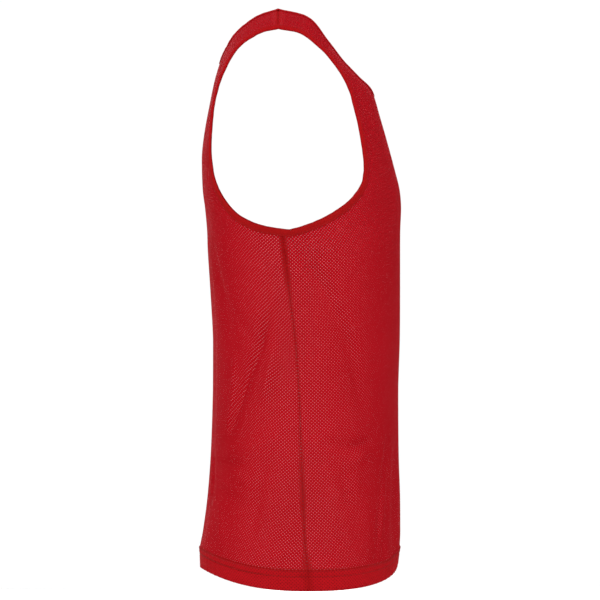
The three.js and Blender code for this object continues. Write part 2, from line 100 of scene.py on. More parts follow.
MIDDLE = (0, -0.03, -0.35)
soft_panel("key_panel", (-3.2, 0.45, 0.5), MIDDLE, 1.2, 1.4, 48)
soft_panel("far_panel", (3.2, 0.4, 0.5), MIDDLE, 2.0, 2.2, 60)
soft_panel("front_panel_light", (-0.6, -3.4, 0.4), MIDDLE, 1.6, 2.2, 48)
soft_panel("back_panel_light", (-0.2, 3.4, 0.4), MIDDLE, 1.6, 2.2, 42)
soft_panel("top_panel", (-0.8, 0, 3.2), (0, 0, -0.1), 1.6, 1.6, 78)


def inside_lamp(name, level, power):
    lamp = bpy.data.lights.new(name, "POINT")
    lamp.energy = power
    lamp.shadow_soft_size = 0.05
    hung = bpy.data.objects.new(name, lamp)
    bpy.context.collection.objects.link(hung)
    hung.location = (*MIDDLE[:2], level)
    hung.visible_camera = False


inside_lamp("inside_lamp_upper", -0.27, 0.6)
inside_lamp("inside_lamp_lower", -0.52, 0.6)

FILL_STRENGTH, SEEN_STRENGTH = 0.3, 1.02
room = bpy.data.worlds.new("white_room")
bpy.context.scene.world = room
room.use_nodes = True
room_nodes = room.node_tree.nodes
room_links = room.node_tree.links
room_nodes.clear()
room_out = room_nodes.new("ShaderNodeOutputWorld")
choose = room_nodes.new("ShaderNodeMixShader")
ray = room_nodes.new("ShaderNodeLightPath")
room_links.new(ray.outputs["Is Camera Ray"], choose.inputs["Fac"])
for slot, strength in ((1, FILL_STRENGTH), (2, SEEN_STRENGTH)):
    white = room_nodes.new("ShaderNodeBackground")
    white.inputs["Color"].default_value = (1, 1, 1, 1)
    white.inputs["Strength"].default_value = strength
    room_links.new(white.outputs["Background"], choose.inputs[slot])
room_links.new(choose.outputs["Shader"], room_out.inputs["Surface"])
bpy.context.scene.view_settings.view_transform = "Standard"

# %% Floor
FLOOR_LEVEL = -0.76
bpy.ops.object.select_all(action="DESELECT")
bpy.ops.mesh.primitive_plane_add(size=7, location=(0, 0, FLOOR_LEVEL))
floor = bpy.context.object
floor.name = "pale_floor"
bpy.ops.object.transform_apply(location=True)
floor_paint = bpy.data.materials.new("pale_floor_paint")
floor_paint.use_nodes = True
paint = floor_paint.node_tree.nodes["Principled BSDF"]
paint.inputs["Base Color"].default_value = (0.93, 0.93, 0.93, 1)
paint.inputs["Roughness"].default_value = 0.9
floor.data.materials.append(floor_paint)
print("floor at", FLOOR_LEVEL, "m")

# %% [markdown]
# ## The form under the cloth
# Nobody wears the bib here, but it keeps the shape that a chest and two shoulders give it. That
# shape is a stack of sections, and each line of a table has one number for every section. The
# body's sections are level. A strap's sections run from the neckline to the armhole's edge, and
# tip over backwards until they lie along the shoulder seam.

# %% Sizes of the form, in millimetres
HEM = -698.0
HEM_DEPTH = 25.0
QUARTER = 90.0
BODY = {
    "z": (-698, -673, -650, -600, -540, -460, -400, -340, -290, -266.4, -240, -218),
    "front": (-144.2, -146.4, -147.6, -147.4, -145.7, -145.2, -147, -147.4, -147.4, -147.6, -148.6, -146.8),
    "back": (93.6, 94.2, 91.2, 85.6, 81.5, 79, 78.8, 82, 85.2, 86, 88.4, 91.2),
    "seam": (-37.4, -35.4, -32.8, -30.2, -28, -25, -20.8, -13.5, -7.6, -5, -4.2, -4.4),
    "width": (214, 213.5, 212.5, 210.5, 208, 206.5, 206.5, 207, 207, 206.5, 205, 203),
    "square_front": (2.3, 2.3, 2.3, 2.3, 2.3, 2.3, 2.3, 2.35, 2.4, 2.3, 2.2, 2.2),
    "square_back": (2.4, 2.4, 2.4, 2.4, 2.4, 2.4, 2.4, 2.5, 2.7, 2.8, 3.0, 3.1),
}
CHEST = {
    "front": dict(z=-195, centre=-141.2, seam=-7.6, width=201, square=2.2, edge=-104.2, length=245),
    "back": dict(z=-180, centre=92.3, seam=-6.4, width=192, square=3.1, edge=81.4, length=215),
}
STRAP = {
    "front": {
        "at": (0.11, 0.25, 0.37, 0.45, 0.53, 0.6, 0.73, 0.87, 1),
        "neck_x": (0, 0, 0, 45, 58.5, 66, 73, 77, 78),
        "neck_y": (-134, -124, -113, -98.6, -88, -78, -60.4, -37, 0),
        "neck_z": (-168, -133, -98, -83, -72.2, -61.6, -38.6, -10.4, 0),
        "arm_x": (139.5, 132.5, 129, 129, 130, 131, 134, 137, 138),
        "arm_y": (-102.6, -97, -90, -85.4, -78.4, -69.6, -52.6, -28, 0),
        "arm_z": (-171, -138, -110, -95, -80.5, -67.2, -47.6, -29, -22.8),
        "reach": (1.5, 1.7, 1.9, 2.2, 2.4, 2.5, 2.6, 2.8, 3),
        "square": (2.2, 2.2, 2.2, 2.2, 2.2, 2.2, 2.2, 2.2, 2.2),
    },
    "back": {
        "at": (0.15, 0.32, 0.47, 0.58, 0.66, 0.75, 0.83, 0.92, 1),
        "neck_x": (0, 0, 0, 0, 43, 62, 70, 76, 78),
        "neck_y": (89.4, 82.8, 76.2, 68.2, 62.2, 53.8, 41.6, 23, 0),
        "neck_z": (-151, -115.2, -84, -58.4, -46, -32, -20, -7.6, 0),
        "arm_x": (122, 119.5, 121, 125, 128, 131, 133.5, 136.5, 138),
        "arm_y": (81.4, 78, 71, 62.2, 54, 44, 32.6, 17.6, 0),
        "arm_z": (-150, -114, -87, -67, -52.8, -41.6, -33.8, -26.4, -22.8),
        "reach": (1.65, 1.8, 2.1, 2.3, 2.5, 2.6, 2.7, 2.8, 3),
        "square": (2.9, 2.6, 2.4, 2.3, 2.2, 2.2, 2.2, 2.2, 2.2),
    },
}
NECK_LOW = {"front": 0.37, "back": 0.58}
NECK_TURNS = {"front": 0.56, "back": 0.71}
UNDERARM = {
    "front": {
        "part": (0, 0.16, 0.32, 0.5, 0.67, 0.82, 0.93, 1),
        "y": (-104.2, -101, -87.4, -69, -50.4, -30.4, -13, -5),
        "z": (-195, -211, -229.6, -243.6, -253.8, -261.6, -266.2, -265.4),
    },
    "back": {
        "part": (0, 0.16, 0.34, 0.52, 0.68, 0.84, 1),
        "y": (81.4, 77.6, 67.6, 51.6, 33, 14.8, -5),
        "z": (-180, -203, -226, -245.4, -256.4, -262.2, -265.4),
    },
}
HEM_DIP = {
    "z": (-698, -673, -640, -590, -520, -440, -360),
    "front": (31, 25.5, 17.5, 10, 3.5, 0, 0),
    "back": (25.5, 24.5, 17.5, 10, 3.5, 0, 0),
}
DIP_ROUND = {"front": 0.1, "back": 1.0}
DIP_POWER = {"front": 0.85, "back": 1.3}
print("levels in the body table:", len(BODY["z"]), "strap rows:", len(STRAP["front"]["at"]))

# %% [markdown]
# A table gives a size at a few places only. Between them the sizes should flow, without bumps
# and without shooting past a neighbour, so a smooth curve is read through each column.

# %% Read a table smoothly
def read_at(table, key, places):
    keys = np.array(table[key], float)
    places = np.clip(np.asarray(places, float), keys[0], keys[-1])
    low = np.clip(np.searchsorted(keys, places, side="left") - 1, 0, len(keys) - 2)
    span = keys[low + 1] - keys[low]
    part = (places - keys[low]) / span
    reading = {}
    for name, column in table.items():
        if name == key:
            continue
        values = np.array(column, float)
        rises = np.diff(values) / np.diff(keys)
        slopes = np.empty_like(values)
        slopes[1:-1] = (values[2:] - values[:-2]) / (keys[2:] - keys[:-2])
        slopes[0], slopes[-1] = rises[0], rises[-1]
        rise = rises[low]
        ease_in = steadied(slopes[low], rise)
        ease_out = steadied(slopes[low + 1], rise)
        curve = part * (1 - part) * span * ((ease_in - rise) * (1 - part) - (ease_out - rise) * part)
        reading[name] = values[low] + (values[low + 1] - values[low]) * part + curve
    return reading


def steadied(slope, rise):
    held = np.sign(slope) * np.minimum(np.abs(slope), 3 * np.abs(rise))
    return np.where(slope * rise <= 0, 0.0, held)


print("front of the body at the waist:", round(float(read_at(BODY, "z", [-450])["front"][0]), 1), "mm")


# %% The form's rows, from the hem to the shoulder seam
def set_in(out, square):
    return 1 - (1 - out**square) ** (1 / square)


def turn_at_share(share, square):
    return np.degrees(np.arctan2(share, (1 - share**square) ** (1 / square)))


def form_table(panel):
    chest, strap = CHEST[panel], STRAP[panel]
    sections = list(zip(*(BODY[key] for key in ("z", panel, "seam", "width", "square_" + panel))))
    sections.append([chest[key] for key in ("z", "centre", "seam", "width", "square")])
    rows = [(z, crest, z, seam, z, width, square) for z, crest, seam, width, square in sections]
    for row in zip(*strap.values()):
        at, neck_x, neck_y, neck_z, arm_x, arm_y, arm_z, reach, square = row
        width = reach * arm_x
        neck_set = set_in(neck_x / width, square)
        share = set_in(arm_x / width, square) - neck_set
        fall_y, fall_z = (arm_y - neck_y) / share, (arm_z - neck_z) / share
        crest_y, crest_z = neck_y - fall_y * neck_set, neck_z - fall_z * neck_set
        level = chest["z"] + chest["length"] * at
        rows.append((level, crest_y, crest_z, crest_y + fall_y, crest_z + fall_z, width, square))
    names = ("level", "crest_y", "crest_z", "side_y", "side_z", "width", "square")
    return dict(zip(names, zip(*rows)))


FORM = {panel: form_table(panel) for panel in ("front", "back")}
TOP = {panel: CHEST[panel]["z"] + CHEST[panel]["length"] for panel in FORM}
print("rows in each form:", {panel: len(FORM[panel]["level"]) for panel in FORM})


# %% Points and outward directions on the form
def form_points(panel, turn, level):
    row = read_at(FORM[panel], "level", level)
    sine = np.sin(np.radians(turn))
    cosine = np.maximum(np.cos(np.radians(turn)), 0)
    reach = (sine ** row["square"] + cosine ** row["square"]) ** (1 / row["square"])
    out, fall = sine / reach, 1 - cosine / reach
    rounding = DIP_ROUND[panel]
    share = (np.hypot(out, rounding) - rounding) / (math.hypot(1, rounding) - rounding)
    lift = read_at(HEM_DIP, "z", level)[panel] * (1 - np.maximum(share, 0) ** DIP_POWER[panel])
    y = row["crest_y"] + (row["side_y"] - row["crest_y"]) * fall
    z = row["crest_z"] + (row["side_z"] - row["crest_z"]) * fall + lift
    return np.stack([row["width"] * out, y, z], axis=-1)


TURN_STEP = 0.4
LEVEL_STEP = 1.0


def form_directions(panel, turn, level):
    turn_low, turn_high = np.maximum(turn - TURN_STEP, 0), np.minimum(turn + TURN_STEP, QUARTER)
    level_low, level_high = np.maximum(level - LEVEL_STEP, HEM), np.minimum(level + LEVEL_STEP, TOP[panel])
    along = form_points(panel, turn_high, level) - form_points(panel, turn_low, level)
    up = form_points(panel, turn, level_high) - form_points(panel, turn, level_low)
    return along / (turn_high - turn_low)[..., None], up / (level_high - level_low)[..., None]


def form_normals(panel, turn, level):
    along, up = form_directions(panel, turn, level)
    outward = np.cross(along, up) if panel == "front" else np.cross(up, along)
    outward[..., 0] = np.where(turn < TURN_STEP, 0, outward[..., 0])
    on_seam = (turn > QUARTER - TURN_STEP) | (level > TOP[panel] - LEVEL_STEP)
    outward[..., 1] = np.where(on_seam, 0, outward[..., 1])
    return outward / np.linalg.norm(outward, axis=-1, keepdims=True)


waist = form_points("front", np.array([0.0, 45.0, 90.0]), np.array([-450.0, -450.0, -450.0]))
print("front waist at centre, quarter and seam:", waist.round(1).tolist())

# %% [markdown]
# ## Where the cloth ends
# The armhole and the neckline are curves on the form. The folded tape lies along them, so the
# cloth stops a few millimetres short, inside the tape. Moving a curve sideways over a curved
# surface means measuring with the surface's own two directions, which is what the inset does.

# %% Edges of the panels
NECK_COLUMNS, STRAP_COLUMNS, CHEST_ROWS = 17, 23, 34
NEAR_SEAM = (0.68, 0.44, 0.24, 0.1, 0)


def parts_to_seam(count, room):
    return np.array([*np.linspace(0, 1 - room, count), *(1 - room * part for part in NEAR_SEAM)])


SIDE_PARTS = parts_to_seam(count=38, room=0.05)
STRAP_PARTS = parts_to_seam(count=24, room=0.08)
SIDE_COLUMNS, STRAP_ROWS = len(SIDE_PARTS) - 1, len(STRAP_PARTS) - 1


def armhole_edge(panel):
    chest, strap = CHEST[panel], STRAP[panel]
    inward = (chest["seam"] - chest["edge"]) / (chest["seam"] - chest["centre"])
    share = (1 - inward ** chest["square"]) ** (1 / chest["square"])
    turns = [turn_at_share(share, chest["square"])]
    turns += [turn_at_share(1 / reach, square) for reach, square in zip(strap["reach"], strap["square"])]
    table = {"at": (0,) + strap["at"], "turn": turns}
    turns_at = NECK_TURNS[panel]
    upper = turns_at + (1 - turns_at) * STRAP_PARTS[:0:-1]
    lower = turns_at * np.arange(CHEST_ROWS, 0, -1) / CHEST_ROWS
    at = np.concatenate([upper, lower])
    painted_light_on_strap = np.stack([read_at(table, "at", at)["turn"], chest["z"] + chest["length"] * at], axis=-1)
    under = read_at(UNDERARM[panel], "part", SIDE_PARTS)
    row = read_at(FORM[panel], "level", under["z"])
    inward = np.clip((row["side_y"] - under["y"]) / (row["side_y"] - row["crest_y"]), 0, 1)
    turn = turn_at_share((1 - inward ** row["square"]) ** (1 / row["square"]), row["square"])
    turn[-1] = QUARTER
    return np.concatenate([painted_light_on_strap, np.stack([turn, under["z"]], axis=-1)])


def neckline_edge(panel):
    chest, strap, low = CHEST[panel], STRAP[panel], NECK_LOW[panel]
    bends, turns = [], []
    needed = (strap[key] for key in ("at", "neck_x", "arm_x", "reach", "square"))
    for at, neck_x, arm_x, reach, square in zip(*needed):
        if neck_x > 0 or at == low:
            bends.append(math.sqrt(at - low))
            turns.append(turn_at_share(neck_x / (reach * arm_x), square))
    turns_at = NECK_TURNS[panel]
    rows = turns_at + (1 - turns_at) * STRAP_PARTS[::-1]
    columns = low + (turns_at - low) * (np.arange(NECK_COLUMNS - 1, -1, -1) / NECK_COLUMNS) ** 2
    at = np.concatenate([rows, columns])
    turn = read_at({"bend": bends, "turn": turns}, "bend", np.sqrt(np.maximum(at - low, 0)))["turn"]
    return np.stack([turn, chest["z"] + chest["length"] * at], axis=-1)


def inset_edge(panel, edge, far, sense):
    before = np.concatenate([edge[:1], edge[:-1]])
    after = np.concatenate([edge[1:], edge[-1:]])
    along, up = form_directions(panel, edge[:, 0], edge[:, 1])
    aa, au, uu = (along * along).sum(-1), (along * up).sum(-1), (up * up).sum(-1)
    turn, level = (after - before).T.copy()
    turn[0] = -(au[0] / aa[0]) * level[0]
    level[-1] = 0
    off_turn, off_level = -(au * turn + uu * level), aa * turn + au * level
    size = np.sqrt(aa * off_turn**2 + 2 * au * off_turn * off_level + uu * off_level**2)
    moved = edge + (sense * far / size)[:, None] * np.stack([off_turn, off_level], axis=-1)
    moved[0, 1], moved[-1, 0] = edge[0, 1], edge[-1, 0]
    return moved


ARMHOLE, NECKLINE = {}, {}
for panel in FORM:
    ARMHOLE[panel], NECKLINE[panel] = armhole_edge(panel), neckline_edge(panel)
print("stations on the front armhole:", len(ARMHOLE["front"]), "and neckline:", len(NECKLINE["front"]))

# %% [markdown]
# ## Folds
# Mesh cloth on a form is never flat. It hangs from the chest and the shoulder blades, and where
# it is held by the underarm it pulls into long soft folds. The tables go by panel and side, and
# side -1 is the wearer's right. A fold's row has the turn and level where it starts, the turn and
# level where it ends, how broad it is and how deep. A minus depth lifts a ridge instead.

# %% The folds of both panels
FOLDS = {
    ("back", -1): [
        (73.8, -369, 39, -514, 12, 3.8), (76.8, -403, 65.8, -466, 11, -2.6),
        (30.2, -291, 42.2, -395, 14, 3.5), (26, -548, 50.8, -550, 12, 2),
        (65.5, -563, 58.8, -628, 14, 2),
    ],
    ("back", 1): [
        (76, -360, 40, -480, 15, 4.5), (22, -290, 46, -350, 14, 3.0), (60, -545, 52, -625, 16, 3.5),
        (12, -430, 20, -560, 18, 3.0),
    ],
    ("front", -1): [
        (80, -304, 55.5, -439, 18, 2.5), (42.2, -518, 64.2, -526, 12, 2.5),
        (67.8, -554, 61.2, -604, 13, 2), (16, -528, 24, -660, 17, 6),
    ],
    ("front", 1): [
        (78, -300, 54, -410, 17, 4.5), (46, -495, 66, -520, 13, 3.0), (24, -545, 30, -645, 15, 4.0),
        (52, -560, 58, -640, 14, 3.0),
    ],
}
FINE_FOLDS = {
    ("back", -1): [
        (73, -369, 59.5, -431, 5, 3.8), (59.5, -423, 41, -513, 4.5, 3.2),
        (76.8, -403, 67, -463, 6, -3.5), (46.2, -420, 43.2, -472, 4, -3.8),
        (43.2, -468, 37, -512, 4, -2.9), (31.8, -330, 62.8, -404, 7, 1.6),
        (76, -289, 72.8, -364, 5, 1.3), (83.5, -295, 77, -352, 5, -1.1),
        (34.8, -549, 50.8, -550, 4.2, 1.9), (48, -563, 58, -573, 7, -1.9),
        (18.8, -542, 21.5, -599, 8, 4.2), (35.8, -611, 41.5, -666, 9, -2.2),
        (66, -558, 59.2, -639, 7, 1.4), (82, -650, 75, -660, 6, -1.6),
        (34.8, -556, 66.8, -568, 8, -1.9), (28.8, -584, 55.8, -596, 8, 2),
        (50.5, -540, 86, -499, 9, -1.8), (45.5, -525, 74.8, -486, 6, 1.4),
        (65.5, -554, 83.2, -523, 8, 1.3),
    ],
    ("back", 1): [
        (66, -320, 56, -376, 8, 1.6), (50, -440, 38, -500, 7, 1.8), (68, -600, 64, -655, 8, 1.4),
        (30, -600, 34, -655, 9, -1.4),
    ],
    ("front", -1): [
        (81, -295, 69.2, -345, 8, 2.9), (69.2, -340, 59, -409, 9, 2.9), (58.8, -405, 53, -474, 9, 2.6),
        (77.2, -386, 76, -481, 12, -1.3), (84, -330, 79.8, -347, 5, 1.4),
        (46.2, -519, 60, -525, 4.2, 2.6), (60, -525, 77.8, -521, 5, 1.4),
        (49.5, -532, 61.5, -544, 7, -2.1), (66.5, -554, 62.2, -597, 5, 1.6),
        (55, -536, 58.5, -590, 6, -1.1), (31.2, -517, 40.2, -593, 5.5, 3.2),
        (40, -588, 43.5, -663, 5.5, 3.2), (51.8, -591, 51.2, -653, 8, -1.4),
        (39, -646, 38, -656, 4.5, 2.2), (33.8, -527, 42.5, -664, 4, -0.8),
        (86, -526, 68.2, -503, 8, -1.5), (84, -554, 68.2, -590, 10, 1.3),
        (61.5, -545, 46.2, -530, 7, -1.6), (29, -527, 37.8, -666, 5, 1.9),
    ],
    ("front", 1): [
        (82, -288, 64, -325, 7, 1.6), (60, -440, 44, -470, 7, 1.5), (38, -580, 41, -652, 7, 1.6),
        (70, -560, 76, -640, 8, 1.3),
    ],
}
FORM_RADIUS = 150.0
FOLD_END = 0.15
CENTRE_FADE, SEAM_FADE = 10, 8


def fold_depth(panel, side, turn, level):
    arc = math.radians(FORM_RADIUS)
    depth = np.zeros_like(turn)
    for start, z, end, z_to, broad, deep in FOLDS[panel, side] + FINE_FOLDS[panel, side]:
        run = np.array([(end - start) * arc, z_to - z])
        off = np.stack([(turn - start) * arc, level - z], axis=-1)
        nearest = np.clip(off @ run / (run @ run), 0, 1)
        gap = np.linalg.norm(off - nearest[..., None] * run, axis=-1)
        fade = np.sin(math.pi * (FOLD_END + (1 - 2 * FOLD_END) * nearest))
        depth += deep * fade * np.exp(-((gap / broad) ** 2))
    return depth * np.minimum(turn / CENTRE_FADE, 1) * np.minimum((QUARTER - turn) / SEAM_FADE, 1)


for title, folds in (("main", FOLDS), ("fine", FINE_FOLDS)):
    print(title, "folds:", sum(len(rows) for rows in folds.values()))

# %% [markdown]
# A seam and a line of stitches gather the cloth beside them a little. These small puckers are
# uneven, so they are a few waves of unlike length added up, and they die out within a finger's
# breadth. The seams themselves sink into a narrow groove, and so do the two stitched lines that
# hold the hem. Where the cloth is turned up, the doubled layer stands out of the single one.

# %% Puckers, seam grooves and the hem's relief
PUCKER = 0.6
PUCKER_REACH = 13.0
GROOVE = 0.8
GROOVE_HALF = 1.4
NEEDLE_LINES = (23.2, 16.8)
NEEDLE_HALF = 1.1
NEEDLE_DEEP = 0.4
HEM_OUT = 0.6
HEM_ROLL = 0.9
ROLL_BELOW, ROLL_ABOVE = 5, 1.6
SIDE_PHASE, FRONT_PHASE, HEM_PHASE = 1.7, 0.9, 2
HEM_MM_PER_TURN = 3.4
wave_draw = random.Random(7)
WAVES = [(wave_draw.uniform(9, 26), wave_draw.uniform(0, 6.28), wave_draw.uniform(0.4, 1)) for _ in range(5)]


def uneven_wave(along, shift):
    total = 0
    for length, phase, size in WAVES:
        total = total + size * np.sin(2 * math.pi * along / length + phase + shift)
    return total / sum(size for _, _, size in WAVES)


def seam_relief(panel, side, turn, level, to_side, to_shoulder):
    shift = SIDE_PHASE * side + (FRONT_PHASE if panel == "front" else 0)
    relief = PUCKER * uneven_wave(level, shift) * np.exp(-to_side / PUCKER_REACH)
    above_hem = np.maximum(level - (HEM + HEM_DEPTH), 0)
    hem_wave = uneven_wave(turn * HEM_MM_PER_TURN, shift + HEM_PHASE)
    relief += PUCKER * hem_wave * np.exp(-above_hem / PUCKER_REACH)
    relief -= GROOVE * np.exp(-((to_side / GROOVE_HALF) ** 2))
    return relief - GROOVE * np.exp(-((to_shoulder / GROOVE_HALF) ** 2))


def hem_relief(level):
    above = level - (HEM + HEM_DEPTH)
    doubled = HEM_OUT + HEM_ROLL * np.exp(above / ROLL_BELOW)
    single = (HEM_OUT + HEM_ROLL) * np.exp(-above / ROLL_ABOVE)
    relief = np.where(above <= 0, doubled, single)
    for line in NEEDLE_LINES:
        relief = relief - NEEDLE_DEEP * np.exp(-(((level - HEM - line) / NEEDLE_HALF) ** 2))
    return relief


print("pucker waves in mm:", [round(length, 1) for length, _, _ in WAVES])


# %% Lay places of a panel on the form
CLOTH_FACE = -0.3


def lay_places(panel, side, places, sunk=0.0):
    turn, level = places[..., 0], places[..., 1]
    along, up = form_directions(panel, turn, level)
    normal = form_normals(panel, turn, level)
    to_side = (QUARTER - turn) * np.linalg.norm(along, axis=-1)
    to_shoulder = (TOP[panel] - level) * np.linalg.norm(up, axis=-1)
    face = CLOTH_FACE - sunk + hem_relief(level) - fold_depth(panel, side, turn, level)
    face = face + seam_relief(panel, side, turn, level, to_side, to_shoulder)
    points = form_points(panel, turn, level) + normal * face[..., None]
    mirror = np.array([side, 1, 1])
    return points * mirror, normal * mirror


sample, _ = lay_places("front", -1, np.array([[45.0, -450.0]]))
print("a place on the front waist lies at", sample[0].round(1).tolist(), "mm")

# %% [markdown]
# ## The cut
# Cloth is cut flat, and the mesh's holes stand in straight rows on the flat piece. So each place
# needs its flat address: how far it lies from the centre line, and how far above the hem's fold,
# measured over the cloth. The addresses are added up step by step over the whole form, and any
# place then reads its own from that sheet.

# %% Flat addresses of the cloth
SHEET_TURNS = np.linspace(0, QUARTER, 181)
SHEET_LEVELS = 521
CELL_WIDE, CELL_HIGH = 4.3, 4.0
SHEETS = {}


def flat_sheet(panel):
    levels = np.linspace(HEM, TOP[panel], SHEET_LEVELS)
    turn, level = np.meshgrid(SHEET_TURNS, levels, indexing="ij")
    along, up = form_directions(panel, turn, level)
    stretch = np.linalg.norm(along, axis=-1)
    lean = (along * up).sum(-1) / stretch
    climb = np.sqrt((up * up).sum(-1) - lean**2)
    steps = (stretch[1:] + stretch[:-1]) / 2 * np.diff(SHEET_TURNS)[:, None]
    across = np.concatenate([np.zeros((1, len(levels))), np.cumsum(steps, axis=0)])
    rises = (climb[:, 1:] + climb[:, :-1]) / 2 * np.diff(levels)[None]
    upward = np.concatenate([np.zeros((len(SHEET_TURNS), 1)), np.cumsum(rises, axis=1)], axis=1)
    return levels, across, upward


def grid_step(share, count):
    step = np.clip(share * (count - 1), 0, count - 1.001)
    low = step.astype(int)
    return low, step - low


def flat_address(panel, turn, level):
    levels, across, upward = SHEETS[panel]
    low_column, part = grid_step(turn / QUARTER, len(SHEET_TURNS))
    low_row, share = grid_step((level - levels[0]) / (levels[-1] - levels[0]), len(levels))
    reading = []
    for sheet in (across, upward):
        below = sheet[low_column, low_row] * (1 - part) + sheet[low_column + 1, low_row] * part
        above = sheet[low_column, low_row + 1] * (1 - part) + sheet[low_column + 1, low_row + 1] * part
        reading.append(below * (1 - share) + above * share)
    return reading


for panel in FORM:
    SHEETS[panel] = flat_sheet(panel)
    half_hem, _ = flat_address(panel, np.array([QUARTER]), np.array([HEM]))
    print(panel, "is cut", round(2 * float(half_hem[0])), "mm wide at the hem")

# %% [markdown]
# ## Laying a flat piece over the form
# A panel starts as a flat grid, as cloth on the cutting table. Its columns of cells stop at the
# neckline, at the shoulder or under the arm, so the spare cells are cut away first. Then every
# corner is carried to its place on the form. The rows crowd together at the hem's top and the
# columns at the seam, because that is where the cloth bends sharply.

# %% The places of a half panel's grid
CLOTH_IN_TAPE = 4.5
BODY_ROWS = 176
HEM_LINES = (0, 4, 8.5, 12.5, 15, 16.1, 16.8, 17.5, 19, 21.2, 22.4, 23.2, 24.1, 25, 25.9, 27.2, 29)
HEM_ROWS = HEM_LINES.index(25)
NECK_TURN_AT_HEM, STRAP_TURN_AT_HEM, NECK_TURN_AT_CHEST = 20.0, 48.0, 22.0


def blend(start, end, count):
    part = (np.arange(count + 1) / count)[:, None]
    return np.asarray(start) + (np.asarray(end) - np.asarray(start)) * part


def up_from_hem(turn, top):
    hem = np.array([(turn, HEM + line) for line in HEM_LINES[:-1]])
    return np.concatenate([hem, blend((turn, HEM + HEM_LINES[-1]), top, BODY_ROWS)])


def half_panel(panel):
    armhole = inset_edge(panel, ARMHOLE[panel], CLOTH_IN_TAPE, -1)
    neckline = inset_edge(panel, NECKLINE[panel], CLOTH_IN_TAPE, 1)
    strap_rows = CHEST_ROWS + STRAP_ROWS
    chest_corner, neck_corner = armhole[strap_rows], neckline[STRAP_ROWS]
    foot_of_neck = np.array([NECK_TURN_AT_CHEST, chest_corner[1]])
    columns = []
    for column in range(NECK_COLUMNS):
        part = column / NECK_COLUMNS
        foot = np.array([NECK_TURN_AT_CHEST * part, chest_corner[1]])
        top = neckline[len(neckline) - 1 - column]
        body = up_from_hem(NECK_TURN_AT_HEM * part, foot)
        columns.append(np.concatenate([body, blend(foot, top, CHEST_ROWS)[1:]]))
    inner = np.concatenate([blend(foot_of_neck, neck_corner, CHEST_ROWS)[1:], neckline[STRAP_ROWS - 1 :: -1]])
    outer = armhole[strap_rows - 1 :: -1]
    for column in range(STRAP_COLUMNS + 1):
        part = column / STRAP_COLUMNS
        turn = NECK_TURN_AT_HEM + (STRAP_TURN_AT_HEM - NECK_TURN_AT_HEM) * part
        body = up_from_hem(turn, foot_of_neck + (chest_corner - foot_of_neck) * part)
        columns.append(np.concatenate([body, inner + (outer - inner) * part]))
    for column in range(1, SIDE_COLUMNS + 1):
        turn = STRAP_TURN_AT_HEM + (QUARTER - STRAP_TURN_AT_HEM) * SIDE_PARTS[column]
        columns.append(up_from_hem(turn, armhole[strap_rows + column]))
    return columns


print("columns in half a front panel:", len(half_panel("front")))


# %% Helpers for pieces made on a flat grid
def start_clean():
    if bpy.context.object and bpy.context.object.mode != "OBJECT":
        bpy.ops.object.mode_set(mode="OBJECT")
    bpy.ops.object.select_all(action="DESELECT")


def pick(piece):
    start_clean()
    piece.select_set(True)
    bpy.context.view_layer.objects.active = piece


def flat_grid(name, columns, rows):
    start_clean()
    bpy.ops.mesh.primitive_grid_add(x_subdivisions=columns, y_subdivisions=rows, size=1)
    piece = bpy.context.object
    piece.name = piece.data.name = name
    spots = np.empty(len(piece.data.vertices) * 3)
    piece.data.vertices.foreach_get("co", spots)
    spots = spots.reshape(-1, 3)
    column = np.rint((spots[:, 0] + 0.5) * columns).astype(int)
    row = np.rint((spots[:, 1] + 0.5) * rows).astype(int)
    return piece, column, row


def write_uv(piece, across, upward):
    mesh = piece.data
    corner = np.empty(len(mesh.loops), int)
    mesh.loops.foreach_get("vertex_index", corner)
    spots = np.stack([across, upward], axis=-1)[corner] * MM
    mesh.uv_layers.active.name = "cut"
    mesh.uv_layers.active.data.foreach_set("uv", spots.ravel())


def write_share(piece, name, values):
    share = piece.data.attributes.new(name, "FLOAT", "POINT")
    share.data.foreach_set("value", np.asarray(values, float))


def place_points(piece, points):
    piece.data.vertices.foreach_set("co", (points * MM).ravel())


def cut_away(piece, spare):
    bpy.ops.object.mode_set(mode="EDIT")
    bpy.ops.mesh.select_all(action="DESELECT")
    bpy.ops.object.mode_set(mode="OBJECT")
    piece.data.vertices.foreach_set("select", spare)
    bpy.ops.object.mode_set(mode="EDIT")
    bpy.ops.mesh.delete(type="VERT")
    bpy.ops.object.mode_set(mode="OBJECT")


def edit_all(piece, *works):
    pick(piece)
    bpy.ops.object.mode_set(mode="EDIT")
    bpy.ops.mesh.select_all(action="SELECT")
    for work in works:
        work()
    bpy.ops.object.mode_set(mode="OBJECT")


def merge_twins():
    bpy.ops.mesh.remove_doubles(threshold=0.02 * MM)


def face_out(piece, outward, near):
    edit_all(piece, merge_twins, bpy.ops.mesh.normals_make_consistent)
    closest = min(piece.data.polygons, key=lambda polygon: (polygon.center - near).length)
    if closest.normal.dot(outward) < 0:
        edit_all(piece, bpy.ops.mesh.flip_normals)


def give_thickness(piece, thick, inner_slot=0):
    pick(piece)
    wall = piece.modifiers.new("cloth thickness", "SOLIDIFY")
    wall.material_offset = inner_slot
    wall.thickness = thick * MM
    wall.offset = -1
    bpy.ops.object.modifier_apply(modifier=wall.name)
    bpy.ops.object.shade_smooth_by_angle(angle=math.radians(60))


print("grid helpers ready")
